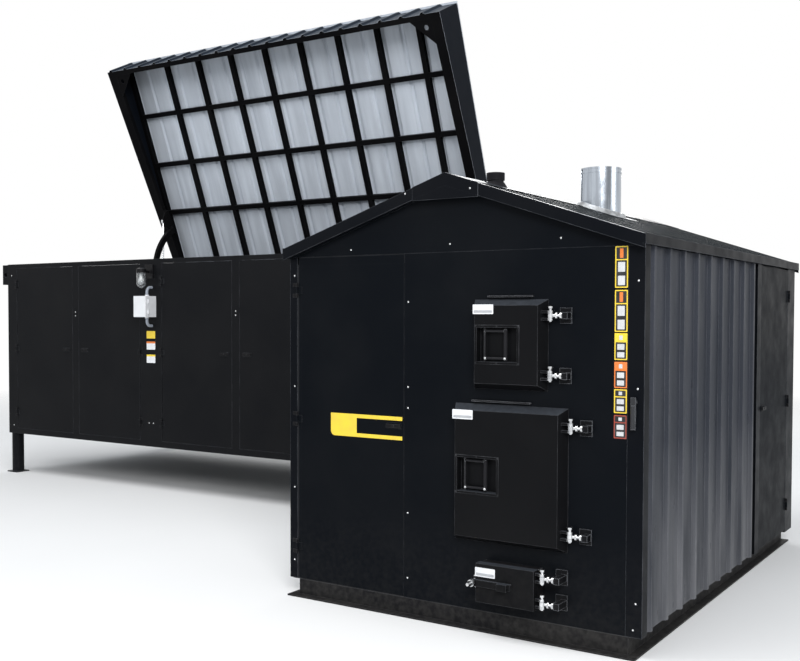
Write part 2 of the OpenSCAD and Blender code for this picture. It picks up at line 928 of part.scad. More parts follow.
// Dished door with its plug and the recess for its handle
module dished_door(w, h, z, px) {
  hole = collar(w, h, z);
  inner_w = hole[2] - 2 * collar_t;
  inner_h = hole[3] - 2 * collar_t;
  rest_y = front_y - 1;
  pocket_x = handle_x(w);
  color("#141518") {
    difference() {
      union() {
        translate([door_x, rest_y, z])
          dish(w, h, dish_d, bevel);
        translate([door_x - inner_w / 2 + plug_gap, rest_y, z - inner_h / 2 + plug_gap])
          cube([inner_w - 2 * plug_gap, plug_d, inner_h - 2 * plug_gap]);
        for (s = [-1, 1])
          translate([px, pin_y, z + s * (h == upper_h ? 146 : 262)])
            door_strap(px - door_x - w / 2 + 20);
      }
      translate([pocket_x, rest_y - dish_d - 1, pocket_z(h, z)])
        translate([0, 0, -pocket_h / 2])
          cube([pocket_w, pocket_d + 1, pocket_h]);
      translate([pocket_x + loop_in, rest_y - dish_d + pocket_d / 2, pocket_z(h, z)])
        translate([0, 0, -pocket_h / 2 - 20])
          cylinder(r = 5 + run, h = pocket_h + 40);
    }
    // frame plate round the recess, with six screws
    translate([pocket_x, rest_y - dish_d, pocket_z(h, z)]) {
      translate([-12, -sheet, -pocket_h / 2 - 12])
        cut_sheet(pocket_w + 24, pocket_h + 24, sheet, [[12, 12, pocket_w, pocket_h]]);
      for (x = [-6, pocket_w / 2, pocket_w + 6])
        for (s = [-1, 1])
          translate([x, -sheet, s * (pocket_h / 2 + 6)])
            rotate([90, 0, 0])
              cylinder(r = 4, h = 2.5);
    }
  }
}

// Left edge and middle height of the recess in a door
function handle_x(w) = door_x - w / 2 + 14;
function pocket_z(h, z) = h == upper_h ? z : z - 4;
// Distance of the loop's rod from the left edge of the recess
loop_in = 34;

// Rectangular loop on a rod that turns in the top and bottom of the recess
module loop_handle(w, h, z) {
  x = handle_x(w) + loop_in;
  y = front_y - 1 - dish_d + pocket_d / 2;
  zc = pocket_z(h, z);
  color("#2a2b2e")
    translate([x, y, zc]) {
      translate([0, 0, -pocket_h / 2 - 18])
        cylinder(r = 5, h = pocket_h + 36);
      for (s = [-1, 1])
        translate([0, 0, s * (loop_h / 2 - 7)])
          bar_x(7, loop_w - 10);
      translate([loop_w - 10, 0, -loop_h / 2])
        cylinder(r = 10, h = loop_h);
      for (s = [-1, 1])
        translate([loop_w - 10, 0, s * (loop_h / 2)])
          sphere(r = 9);
    }
}

module main_door() dished_door(main_w, main_h, main_z, pin_x(main_w));
module upper_door() dished_door(upper_w, upper_h, upper_z, pin_x(upper_w));
module main_handle() loop_handle(main_w, main_h, main_z);
module upper_handle() loop_handle(upper_w, upper_h, upper_z);

module ash_door() {
  px = hinge_list()[2][0];
  face = front_y - 58 - 1;
  hole = door_holes()[2];
  plug_w = hole[2] - 2 * collar_t - 2 * plug_gap;
  plug_h = hole[3] - 2 * collar_t - 2 * plug_gap;
  color("#141518") {
    translate([ash_x - ash_w / 2, face - ash_d, ash_z - ash_h / 2])
      cube([ash_w, ash_d, ash_h]);
    translate([ash_x - plug_w / 2, face, ash_z - plug_h / 2])
      cube([plug_w, plug_d, plug_h]);
    for (s = [-1, 1])
      translate([px, ash_pin_y, ash_z + s * 62])
        door_strap(px - ash_x - ash_w / 2 + 10);
    // lugs that carry the swing bolt
    for (z = [18, -26])
      translate([swing_x, swing_y, ash_z + z])
        swing_lug();
    // cross bar with an open fork for the swing bolt, and its bracket
    difference() {
      translate([swing_x - 12, face - ash_d - 12, ash_z - 17])
        cube([222, 12, 34]);
      translate([swing_x - 13, face - ash_d - 13, ash_z - 9])
        cube([22, 14, 18]);
    }
    translate([ash_x - 28, face - ash_d - 34, ash_z - 17])
      cube([56, 23, 34]);
  }
}

// Swing bolt that clamps the ash door: eye, shank, round nut and cone
module ash_clamp() {
  reach = swing_y - (front_y - 59 - ash_d - 12);
  color("#b4b8bd")
    translate([swing_x, swing_y, ash_z]) {
      translate([0, 0, -17])
        cylinder(r = 11, h = 34);
      rotate([90, 0, 0])
        cylinder(r = 7, h = reach + 46);
      translate([0, -reach - 2.5, 0])
        rotate([90, 0, 0])
          cylinder(r = 18, h = 16);
      translate([0, -reach - 30, 0])
        rotate([90, 0, 0])
          cylinder(r1 = 14, r2 = 8, h = 22);
      translate([0, 0, -31])
        cylinder(r = 6, h = 63.3);
      translate([0, 0, 26.3])
        cylinder(r = 10, h = 6);
    }
}

// Vertical lever on the front right trim, on a bolt through its plate
module corner_lever() {
  color("#0e0f11")
    translate([lever_x, front_y - sheet, lever_z]) {
      translate([0, -16, 0])
        bar_y(6, 16 + sheet + 12);
      translate([0, -14.3, 0])
        bar_y(14, 14);
      translate([-12, -22, -130])
        cube([24, 8, 152]);
      translate([0, -28, -126])
        cylinder(r = 9, h = 110);
    }
}

// ----------------------------------------------------------- sheet doors

// Leaf with folded edges. Its hinge line stands at x = 0, its face lies
// at y = 0 and its free edge at x = w.
module leaf(w, h, latch_x, latch_z, in_x = 7, in_z = 0) {
  difference() {
    union() {
      translate([7, 0, 0])
        cube([w - 7, sheet, h]);
      for (x = [in_x, w - sheet])
        translate([x, 0, 0])
          cube([sheet, fold, h - in_z]);
      for (z = [0, h - sheet - in_z])
        translate([in_x, 0, z])
          cube([w - in_x, fold, sheet]);
      for (z = barrel_list(h))
        translate([0, 0, z - 20]) {
          translate([0, -4, 0])
            cube([32, 4, 40]);
          translate([0, knuckle_y, 0])
            cylinder(r = knuckle_r, h = 40);
        }
      translate([latch_x - 46, -4, latch_z - 17])
        cube([92, 4, 34]);
    }
    for (z = barrel_list(h))
      translate([0, knuckle_y, z - 21])
        cylinder(r = knuckle_pin + run, h = 42);
    translate([latch_x, -5, latch_z])
      bar_y(latch_r + run, 10);
  }
}
function barrel_list(h) = [0.1 * h, 0.5 * h, 0.9 * h];
knuckle_y = -knuckle_r - 3;

// The fixed half of the hinges: barrels over and under each door barrel,
// on plates that lie on the wall, which stands out by seat
module leaf_hinges(h, seat) {
  for (z = barrel_list(h))
    translate([0, 0, z]) {
      for (s = [-40.5, 20.5])
        translate([0, 0, s]) {
          translate([-34, -4, 0])
            cube([34, 4 - seat, 20]);
          translate([0, knuckle_y, 0])
            cylinder(r = knuckle_r, h = 20);
        }
      translate([0, knuckle_y, -42])
        cylinder(r = knuckle_pin, h = 84);
    }
}

// Turning handle in front, shaft through the leaf and tongue behind it
module latch(reach) {
  translate([0, -16, 0])
    bar_y(latch_r, fold + 10 + 16);
  translate([-latch_len / 2, -14, -10])
    cube([latch_len, 9.7, 20]);
  translate([-9, fold + 3, -reach])
    cube([18, 5, reach + 9]);
}

// Puts a leaf or latch at its hinge line, facing -Y or, turned, +X
module at_leaf(pos, turn, flip) {
  translate(pos)
    rotate([0, 0, turn])
      mirror([flip, 0, 0])
        children();
}

access_w = access_x1 - access_x0;
access_h = gable_seam - skid_h - 2 * door_gap;
access_pos = [access_x0, front_y, skid_h + door_gap];
access_latch_z = 1012 - skid_h - door_gap;
access_latch_x = access_w - 62;

module access_door() {
  color("#15161a")
    at_leaf(access_pos, 0, 0)
      leaf(access_w, access_h, access_latch_x, access_latch_z, 22, 46);
}
module access_latch() {
  color("#0c0d0f")
    at_leaf(access_pos + [access_latch_x, 0, access_latch_z], 0, 0)
      latch(access_w - access_latch_x + 18);
}

side_pos = [half_w + sheet, rear_trim_y - 1, skid_h + 17];
side_h = eave_h - 12 - side_pos[2];
side_w = rear_door_w - 2 - door_gap;
side_latch_z = 1016 - side_pos[2];
side_latch_x = side_w - 60;

module rear_door() {
  color("#121316")
    at_leaf(side_pos, 90, 1)
      leaf(side_w, side_h, side_latch_x, side_latch_z);
}
module rear_latch() {
  color("#0c0d0f")
    at_leaf(side_pos + [0, -side_latch_x, side_latch_z], 90, 1)
      latch(side_w - side_latch_x + 18);
}

leaf_h = leaf_z1 - leaf_z0 - 2 * door_gap;
leaf_net = leaf_w - door_gap;
bin_latch_z = 1270 - leaf_z0 - door_gap;
bin_latch_x = leaf_net - 85;
// A pair's doors are hinged on their outer edges
function leaf_flip(k) = k % 2;
function leaf_pos(k) = [
  leaf_x[k] + leaf_flip(k) * leaf_w, bin_front, leaf_z0 + door_gap];

module bin_door(k) {
  color("#121317")
    at_leaf(leaf_pos(k), 0, leaf_flip(k))
      leaf(leaf_net, leaf_h, bin_latch_x, bin_latch_z);
}
module bin_latch(k) {
  s = 1 - 2 * leaf_flip(k);
  color("#0c0d0f")
    at_leaf(leaf_pos(k) + [s * bin_latch_x, 0, bin_latch_z], 0, leaf_flip(k))
      latch(leaf_net - bin_latch_x + 18);
}
module bin_door_1() bin_door(0);
module bin_door_2() bin_door(1);
module bin_door_3() bin_door(2);
module bin_door_4() bin_door(3);
module bin_latch_1() bin_latch(0);
module bin_latch_2() bin_latch(1);
module bin_latch_3() bin_latch(2);
module bin_latch_4() bin_latch(3);

// ---------------------------------------------------------- feed system

drop_w = 300;
drop_y0 = feed_y - 130;
drop_y1 = feed_y + 130;
drop_z0 = stoker_z - 100;
drop_z1 = feed_z + 110;
drop_x0 = stoker_x - drop_w / 2;
blower_x = -20;
blower_z = 300;

// Helical flight along Z, a ribbon with its inner edge inside the shaft
module flight(len, pitch, r0, r1, t) {
  steps = 12;
  n = floor(len / pitch * steps);
  ring = [for (i = [0:n])
    for (p = [[r0, 0], [r1, 0], [r1, t], [r0, t]])
      [p[0] * cos(360 * i / steps), p[0] * sin(360 * i / steps),
       i * pitch / steps + p[1]]];
  tris = [for (i = [0:n - 1]) for (k = [0:3]) for (h = [0, 1])
    h == 0
    ? [4 * i + k, 4 * i + (k + 1) % 4, 4 * i + 4 + (k + 1) % 4]
    : [4 * i + k, 4 * i + 4 + (k + 1) % 4, 4 * i + 4 + k]];
  caps = [[0, 2, 1], [0, 3, 2],
    [4 * n + 1, 4 * n + 2, 4 * n], [4 * n + 2, 4 * n + 3, 4 * n]];
  polyhedron(ring, concat(tris, caps));
}

module feed_tube() {
  x0 = bin_x1 - 70;
  color("#232427")
    translate([x0, feed_y, feed_z])
      difference() {
        union() {
          bar_x(feed_r, drop_x0 - x0);
          translate([70, 0, 0])
            bar_x(feed_r + 36, 8);
          translate([-rib_in - sheet - 6 - x0, 0, 0])
            bar_x(feed_r + 30, 6);
        }
        translate([-1, 0, 0])
          bar_x(feed_r - feed_t, drop_x0 - x0 + 2);
      }
}

module feed_auger() {
  x0 = bin_x0 - 50;
  first = hopper_x0 + 14 - x0;
  color("#6d7074")
    translate([x0, feed_y, feed_z])
      rotate([0, 90, 0]) {
        cylinder(r = shaft_r, h = drop_x0 + drop_w + 20 - x0);
        translate([0, 0, first])
          flight(drop_x0 + 50 - x0 - first, flight_pitch,
                 shaft_r - 2, flight_r, 5);
      }
}

module stoker_housing() {
  port = flight_r + 8;
  color("#232427")
    difference() {
      union() {
        translate([drop_x0, drop_y0, drop_z0])
          cube([drop_w, drop_y1 - drop_y0, drop_z1 - drop_z0]);
        translate([stoker_x, fire_y1 - 110, stoker_z])
          bar_y(port, drop_y0 - fire_y1 + 111);
        translate([stoker_x, jacket_y1, stoker_z])
          bar_y(port + 34, 10);
        // feet that carry the box on the floor
        for (x = [drop_x0, drop_x0 + drop_w - 30])
          for (y = [drop_y0, drop_y1 - 30])
            translate([x, y, skid_h])
              cube([30, 30, drop_z0 - skid_h]);
      }
      translate([drop_x0 + 5, drop_y0 + 5, drop_z0 + 5])
        cube([drop_w - 10, drop_y1 - drop_y0 - 10, drop_z1 - drop_z0 - 10]);
      translate([drop_x0 - 1, feed_y, feed_z])
        bar_x(feed_r - feed_t, 10);
      translate([drop_x0 + drop_w - 10, feed_y, feed_z])
        bar_x(shaft_r + run, 20);
      translate([stoker_x, fire_y1 - 111, stoker_z])
        bar_y(port - 5, drop_y0 - fire_y1 + 120);
      translate([stoker_x, drop_y1 - 10, stoker_z])
        bar_y(shaft_r + run, 20);
    }
}

module stoker_auger() {
  y1 = drop_y1 + 60;
  color("#6d7074")
    translate([stoker_x, y1, stoker_z])
      rotate([90, 0, 0]) {
        cylinder(r = shaft_r, h = y1 - fire_y1 + 90);
        translate([0, 0, 80])
          flight(y1 - fire_y1, flight_pitch, shaft_r - 2, flight_r, 5);
      }
}

// Gearbox with its flange, and a finned motor standing on it
module gearmotor() {
  difference() {
    union() {
      translate([-80, 0, -90])
        cube([160, 110, 200]);
      bar_y(105, 12);
    }
    translate([0, -1, 0])
      bar_y(shaft_r + run, 62);
  }
  translate([0, 110, 30])
    bar_y(62, 20);
  translate([0, 130, 30])
    difference() {
      bar_y(68, 150);
      for (k = [0:6])
        translate([0, 14 + k * 18, 0])
          difference() {
            bar_y(70, 7);
            translate([0, -1, 0])
              bar_y(61, 9);
          }
    }
}

module auger_drives() {
  color("#30343a") {
    translate([bin_x0, feed_y, feed_z])
      rotate([0, 0, 90])
        gearmotor();
    translate([stoker_x, drop_y1, stoker_z])
      gearmotor();
  }
}

blower_r = 95;
module blower_housing() {
  color("#26282b")
    translate([blower_x, jacket_y1, blower_z]) {
      difference() {
        union() {
          translate([0, 30, 0])
            bar_y(blower_r + 15, 90);
          translate([-60, 30, 0])
            cube([120, 90, blower_r + 40]);
          translate([0, 0, 60])
            bar_y(38, 31);
        }
        translate([0, 34, 0])
          bar_y(blower_r + 10, 82);
        translate([-55, 34, 0])
          cube([110, 82, blower_r + 35]);
        translate([0, 110, 0])
          bar_y(50, 20);
        translate([0, -1, 60])
          bar_y(30, 36);
      }
      // boss that the wheel's shaft turns in, and the foot on the floor
      difference() {
        translate([0, 30, 0])
          bar_y(22, 24);
        translate([0, 33, 0])
          bar_y(8 + run, 30);
      }
      translate([-50, 40, skid_h - blower_z])
        cube([100, 70, blower_z - skid_h - blower_r - 10]);
    }
}

module blower_wheel() {
  color("#8b8f94")
    translate([blower_x, jacket_y1 + 58, blower_z]) {
      translate([0, -22, 0])
        bar_y(8, 30);
      bar_y(18, 50);
      bar_y(80, 3);
      for (k = [0:11])
        rotate([0, 30 * k, 0])
          translate([52, 3, -2])
            rotate([0, 20, 0])
              cube([26, 42, 4]);
    }
}

// Heating pipes from the jacket out through the rear wall, as [x, z]
function pipe_runs() = [[jacket_x0 + jacket_w - 120, 1560], [jacket_x0 + jacket_w - 120, 330]];

module water_pipes() {
  color("#9a5b2c")
    for (k = [0, 1]) {
      p = pipe_runs()[k];
      len = rear_y + 45 - jacket_y1 + plate;
      translate([p[0], jacket_y1 - plate, p[1]])
        difference() {
          union() {
            bar_y(pipe_r, len);
            translate([0, plate + 120, 0])
              bar_y(pipe_r + 22, 12);
            if (k == 1) {
              translate([0, 330, 0])
                bar_y(pipe_r + 34, 130);
              translate([0, 395, 0])
                bar_x(pipe_r + 22, 105);
            }
            translate([0, len - 26, 0])
              bar_y(pipe_r + 4, 26);
          }
          translate([0, -1, 0])
            bar_y(pipe_bore, len + 2);
        }
    }
}

module control_box() {
  color("#c3c6c9")
    translate([jacket_x0 + 640, jacket_y1, 980]) {
      cube([300, 120, 380]);
      translate([-4, 120, -4])
        cube([308, 12, 388]);
    }
}

// -------------------------------------------------------------------- bin

module bin_leg() {
  translate([-foot_w / 2, -foot_w / 2, 0])
    cube([foot_w, foot_w, 10]);
  difference() {
    cylinder(r = leg_r, h = bin_low);
    translate([0, 0, 10])
      cylinder(r = leg_r - 5, h = bin_low);
  }
}

// Left faces and widths of the upright tubes: corners, stiles and seam
function bin_posts() = [
  [bin_x0 + sheet, post],
  [leaf_x[1] - stile_w / 2 - 20, 40],
  [seam_x - post / 2, post],
  [leaf_x[3] - stile_w / 2 - 20, 40],
  [bin_x1 - sheet - post, post]];

module bin_frame() {
  y0 = bin_front + sheet;
  y1 = bin_y1 - sheet - post;
  len_x = bin_w - 2 * sheet;
  color("#131417") {
    for (p = bin_posts()) {
      translate([p[0], y0, bin_low + front_low])
        tube_z(bin_top - bin_low - front_low - front_top, p[1], post);
      translate([p[0], y1, bin_low + post])
        tube_z(bin_top - bin_low - 2 * post, p[1], post);
    }
    // upright in the left end with the pin that the lift cylinder swings on
    translate([bin_x0 + sheet, ram_y - post / 2, bin_low + post])
      tube_z(bin_top - bin_low - 2 * post, post, post);
    translate([bin_x0 + sheet + post - 1, ram_y, ram_z])
      bar_x(12, ram_x + 20 - bin_x0 - sheet - post + 1);
    translate([ram_x + 16.5, ram_y, ram_z])
      bar_x(18, 8);
    // front rails leave room for the doors' folded edges
    translate([bin_x0 + sheet, y0, bin_low])
      tube_x(len_x, post, front_low);
    translate([bin_x0 + sheet, y0, bin_top - front_top])
      tube_x(len_x, post, front_top);
    for (z = [bin_low, bin_top - post])
      translate([bin_x0 + sheet, y1, z])
        tube_x(len_x, post, post);
    for (x = [bin_x0 + sheet, bin_x1 - sheet - post])
      for (z = [bin_low, bin_top - post])
        translate([x, y0 + post, z])
          tube_y(y1 - y0 - post, post, post);
    for (x = [bin_x0 + leg_r + 2.5, bin_x1 - leg_r - 2.5])
      for (y = [bin_front + leg_r + 2.5, bin_y1 - leg_r - 2.5])
        translate([x, y, 0])
          bin_leg();
    // lifting blocks at the top corners of both ends
    for (x = [bin_x0 - 88, bin_x1])
      for (y = [bin_front + 4, bin_y1 - 84])
        translate([x, y, bin_top - 205])
          difference() {
            cube([88, 80, 200]);
            translate([44, -1, 100])
              bar_y(24, 82);
          }
    // fixed barrels of the lid's hinge
    for (x = hinge_list_x())
      translate([x, 0, 0]) {
        for (s = [-62, 32])
          translate([s, hinge_y, hinge_z])
            bar_x(9.7, 30);
        translate([-62, hinge_y, hinge_z])
          bar_x(6, 124);
        for (s = [-62, 32])
          translate([s, bin_y1, hinge_z - 55])
            cube([30, 5, 55]);
      }
  }
}
function hinge_list_x() = [for (k = [0:4])
  bin_x0 + 200 + k * (bin_w - 400) / 4];

module bin_walls() {
  h = bin_top - bin_low;
  color("#121317") {
    // front sheet with a cut-out for each door
    translate([bin_x0, bin_front, bin_low])
      cut_sheet(bin_w, h, sheet, [
        for (x = leaf_x)
          [x - bin_x0 - 1, strip_low, leaf_w + 2, h - strip_low - strip_top]]);
    translate([bin_x0, bin_y1 - sheet, bin_low])
      cube([bin_w, sheet, h]);
    for (x = [bin_x0, bin_x1 - sheet])
      difference() {
        translate([x, bin_front + sheet, bin_low])
          cube([sheet, bin_d - 2 * sheet, h]);
        translate([x - 1, feed_y, feed_z])
          bar_x(x == bin_x0 ? shaft_r + 6 : feed_r + 0.3, sheet + 2);
      }
  }
}

// The fixed halves of the sheet doors' hinges, with their pins
module door_hinges() {
  color("#1d1e21") {
    for (k = [0:3])
      at_leaf(leaf_pos(k), 0, leaf_flip(k))
        leaf_hinges(leaf_h, 0);
    at_leaf(access_pos, 0, 0)
      leaf_hinges(access_h, sheet);
    at_leaf(side_pos, 90, 1)
      leaf_hinges(side_h, 0);
  }
}

// Slopes, trough and end plates that bring the fuel to the auger
module bin_hopper() {
  t = 4;
  x0 = hopper_x0;
  len = bin_x1 - sheet - post - 2 - x0;
  r = feed_r;
  y_front = bin_front + sheet + post;
  y_rear = bin_y1 - sheet - post;
  z_top = bin_top - post - 40;
  color("#24262a")
    translate([x0, 0, 0])
      rotate([90, 0, 90]) {
        linear_extrude(len)
          hopper_line(t, r, y_front, y_rear, z_top);
        for (x = [0, len - t])
          translate([0, 0, x])
            linear_extrude(t)
              difference() {
                hopper_fill(r + t / 2, y_front + t / 2, y_rear - t, z_top, 60);
                translate([feed_y, feed_z])
                  circle(x == 0 ? shaft_r + 1 : r + 0.3);
              }
      }
}
module hopper_fill(r, ya, yb, z, kink) {
  polygon([[ya, z], [feed_y - r, feed_z + kink], [feed_y - r, feed_z],
           [feed_y + r, feed_z], [feed_y + r, feed_z + kink], [yb, z]]);
  translate([feed_y, feed_z])
    circle(r);
}
module hopper_line(t, r, ya, yb, z) {
  difference() {
    hopper_fill(r + t, ya, yb, z, 60);
    // sheet t thick, cut past the top so that the mouth stays open
    hopper_fill(r, ya + t / 2, yb + 1.5 * t, z + 10, 60 + t);
  }
}

// ------------------------------------------------------------------- lid

// Turns what is drawn closed to the angle at which the lid stands open
module opened() {
  translate([0, hinge_y, hinge_z])
    rotate([-lid_open, 0, 0])
      translate([0, -hinge_y, -hinge_z])
        children();
}

// Draws along the lid's slope, from its front edge at height top
module on_slope(drop) {
  translate([0, lid_y0, lid_z0 + lid_high - drop])
    rotate([-lid_a, 0, 0])
      children();
}

// Left faces of the lid's bars, from end to end
function grid_x() = concat([lid_x0],
  [for (k = [0:grid_n - 1]) lid_x0 + grid_first + k * grid_step],
  [lid_x1 - bar]);

module lid_rim() {
  w = lid_x1 - lid_x0;
  t = tube_t;
  color("#0f1013")
    opened() {
      // rim on the bin's edge, wide at the ends
      for (y = [lid_y0, lid_y1 - bar])
        translate([lid_x0, y, lid_z0])
          tube_x(w, bar, bar, t);
      translate([lid_x0, lid_y0 + bar, lid_z0])
        tube_y(lid_span - 2 * bar, lid_in0 - lid_x0, bar, t);
      translate([lid_in1, lid_y0 + bar, lid_z0])
        tube_y(lid_span - 2 * bar, lid_x1 - lid_in1, bar, t);
      // uprights, cut on the slope where they carry the bars
      difference() {
        for (x = grid_x()) {
          translate([x + 1, lid_y0, lid_z0 + bar])
            tube_z(lid_high - 2 * bar, bar - 2, bar, t);
          translate([x + 1, lid_y1 - bar, lid_z0 + bar])
            tube_z(lid_low - bar, bar - 2, bar, t);
        }
        on_slope(bar / cos(lid_a) + 0.1)
          translate([lid_x0 - 10, -20, 0])
            cube([w + 20, lid_span + 60, 2 * bar]);
      }
      // corner plates with a round hole
      for (s = [0, 1])
        translate([s == 0 ? lid_in0 : lid_in1, lid_y0 + bar, lid_z0 + 4])
          mirror([s, 0, 0])
            difference() {
              linear_extrude(6)
                polygon([[-2, -2], [230, -2], [230, 0], [0, 230], [-2, 230]]);
              translate([70, 70, -1])
                cylinder(r = 24, h = 8);
            }
      // moving barrels of the hinge
      for (x = hinge_list_x())
        translate([x, 0, 0])
          difference() {
            union() {
              translate([-31, hinge_y, hinge_z])
                bar_x(9.7, 62);
              translate([-31, lid_y1, hinge_z])
                cube([62, hinge_y - lid_y1, 6]);
            }
            translate([-32, hinge_y, hinge_z])
              bar_x(6 + run, 64);
          }
    }
}

// Bars under the roof sheet, and the rows between them
module lid_grid() {
  t = tube_t;
  run_len = lid_span / cos(lid_a);
  bars = grid_x();
  color("#0f1013")
    opened()
      on_slope(bar / cos(lid_a)) {
        for (x = bars)
          translate([x, 4, 0])
            tube_y(run_len - 8, bar, bar, t);
        for (j = [1:3])
          for (k = [0:len(bars) - 2])
            translate([bars[k] + bar, j * row_step, 0])
              tube_x(bars[k + 1] - bars[k] - bar, bar, bar, t);
      }
}

module lid_cladding() {
  w = lid_x1 - lid_x0;
  run_len = (lid_span + 40) / cos(lid_a);
  t = 1.2;
  color("#14171b")
    opened() {
      // roof sheet, its ribs from the hinge to the front
      on_slope(-0.3)
        translate([lid_x0 - 6, -20, t])
          rotate([-90, 0, 0])
            ribbed(w + 12, run_len, 60);
      // front skirt, ribbed, and flat ends and rear
      translate([lid_x0, lid_y0 - rib_t, lid_z0 + 2])
        ribbed(w, lid_high - 8, 54);
      for (x = [lid_x0 - t - 0.3, lid_x1 + 0.3])
        translate([x + t, 0, 0])
          rotate([0, -90, 0])
            linear_extrude(t)
              polygon([
                [lid_z0, lid_y0], [lid_z0 + lid_high - 5, lid_y0],
                [lid_z0 + lid_low - 5, lid_y1], [lid_z0, lid_y1]]);
      translate([lid_x0, lid_y1 + 0.3, lid_z0 + bar])
        cube([w, t, lid_low - bar - 8]);
    }
}

// Curved arm about the hinge line, bolted inside the lid's left end
arm_x = lid_in0 + 80;
// Place of the lift's upper pin about the hinge while the lid lies closed
eye_r = 700;
eye_a = -7;
function eye_y(a) = hinge_y - eye_r * cos(a);
function eye_z(a) = hinge_z + eye_r * sin(a);

module lift_arm() {
  color("#0d0e10")
    opened() {
      translate([arm_x, hinge_y, hinge_z])
        rotate([0, 90, 0])
          rotate([0, 0, -86])
            rotate_extrude(angle = 75)
              translate([arm_r - arm_w / 2, 0])
                difference() {
                  square([arm_w, 36]);
                  translate([5, 5])
                    square([arm_w - 10, 26]);
                }
      // foot on the inside of the lid's end, and the web to the arm
      translate([lid_in0, hinge_y - 800, lid_z0])
        cube([10, 270, bar]);
      translate([lid_in0 + 10, hinge_y - 800, lid_z0])
        cube([arm_x - lid_in0 - 10, 270, 10]);
      // hanging plate with the stub pin that faces the lift rod's eye
      translate([arm_x - 12, 0, 0])
        rotate([90, 0, 90])
          linear_extrude(12)
            polygon([
              [hinge_y - 800, lid_z0 + 10], [hinge_y - 530, lid_z0 + 10],
              [hinge_y - 530, lid_z0 - 60], [hinge_y - 650, lid_z0 - 115],
              [hinge_y - 740, lid_z0 - 115], [hinge_y - 800, lid_z0 - 40]]);
      translate([arm_x - 12, hinge_y - 610, lid_z0 - 62])
        cube([24, 80, 50]);
      translate([ram_x + 15.5, eye_y(eye_a), eye_z(eye_a)])
        bar_x(12, arm_x - 11.5 - ram_x - 15.5);
    }
}

ram_x = bin_x0 + sheet + post + 34;
ram_y = hinge_y - 430;
ram_z = hinge_z - 900;
ram_top = 828;
function hypot(a, b) = sqrt(a * a + b * b);
eye_open = eye_a + lid_open;
ram_len = hypot(eye_y(eye_open) - ram_y, eye_z(eye_open) - ram_z);
ram_a = atan2(eye_y(eye_open) - ram_y, eye_z(eye_open) - ram_z);

module at_ram() {
  translate([ram_x, ram_y, ram_z])
    rotate([-ram_a, 0, 0])
      children();
}

module lift_cylinder() {
  color("#17181b")
    at_ram()
      difference() {
        union() {
          translate([0, 0, 30])
            cylinder(r = ram_r, h = ram_top - 30);
          translate([0, 0, ram_top - 26])
            cylinder(r = ram_r + 1.5, h = 20);
          translate([-16, -26, -26])
            cube([32, 52, 70]);
        }
        translate([0, 0, 50])
          cylinder(r = rod_r + run, h = ram_top);
        translate([-20, 0, 0])
          bar_x(12 + run, 40);
      }
}

module lift_rod() {
  color("#d7dade")
    at_ram() {
      translate([0, 0, 700])
        cylinder(r = rod_r, h = ram_len - 700 - 20);
      translate([-12, 0, ram_len])
        difference() {
          bar_x(26, 27);
          translate([-1, 0, 0])
            bar_x(12.3, 29);
        }
    }
}

// --------------------------------------------------------- lamp and box

lamp_x = -4350;
lamp_z = 2004;
box_x = -4430;
box_z = 1590;
box_w = 154;
box_h = 190;
box_d = 128;

module wall_lamp() {
  color("#15161a")
    translate([lamp_x, bin_front, lamp_z]) {
      translate([-50, -22, -64])
        cube([100, 22, 128]);
      translate([0, -110, 0])
        bar_y(12, 92);
      translate([0, -110, -14])
        cylinder(r = 46, h = 34);
      translate([0, -110, 20])
        cylinder(r1 = 46, r2 = 18, h = 12);
    }
}

module lamp_globe() {
  color("#e6ecf0")
    translate([lamp_x, bin_front - 110, lamp_z - 14.3]) {
      rotate_extrude()
        difference() {
          intersection() {
            union() {
              translate([0, -96])
                square([42, 96]);
              translate([0, -96])
                circle(42);
            }
            translate([0, -150])
              square([60, 150]);
          }
          translate([0, -96])
            square([38, 97]);
          translate([0, -96])
            circle(38);
        }
      // bulb
      translate([0, 0, -84])
        sphere(r = 26);
      translate([0, 0, -70])
        cylinder(r = 14, h = 70);
    }
}

// Box on the bin's front, its cover's hinge and the pipes into the wall
module switch_box() {
  color("#d5d7d9") {
    translate([box_x, bin_front, box_z]) {
      difference() {
        translate([0, -100, 0])
          cube([box_w, 100, box_h]);
        translate([8, -101, 8])
          cube([box_w - 16, 88, box_h - 16]);
      }
      for (z = [55.3, box_h - 67.3])
        translate([box_w + 5.5, -98.4, z]) {
          cylinder(r = 5, h = 12);
          translate([-6, -1, 0])
            cube([6, 6, 12]);
        }
      for (z = [28, box_h - 67])
        translate([box_w + 5.5, -98.4, z])
          cylinder(r = 2, h = 39);
    }
    conduit();
  }
}

module switch_cover() {
  color("#e4e6e8")
    translate([box_x, bin_front - 100.4, box_z]) {
      difference() {
        translate([0, 4 - box_d + 96, 0])
          cube([box_w, box_d - 100, box_h]);
        translate([4, 8 - box_d + 96, 4])
          cube([box_w - 8, box_d - 100, box_h - 8]);
      }
      for (z = [30, box_h - 55])
        translate([box_w + 5.5, 2, z])
          difference() {
            union() {
              cylinder(r = 5, h = 25);
              translate([-6, -8, 0])
                cube([6, 6, 25]);
            }
            translate([0, 0, -1])
              cylinder(r = 2 + run, h = 27);
          }
    }
}

// Elbow from the box's top into the wall, and one under the box
module conduit() {
  r = 13;
  for (s = [0, 1])
    translate([box_x + box_w - 54, bin_front - 60, s == 0 ? box_z + box_h : box_z])
      mirror([0, 0, s]) {
        cylinder(r = r, h = 40);
        cylinder(r = r + 5, h = 14);
        translate([0, 40, 40])
          rotate([90, 0, -90])
            rotate_extrude(angle = 90)
              translate([40, 0])
                circle(r);
        translate([0, 40, 80])
          bar_y(r, 20);
      }
}

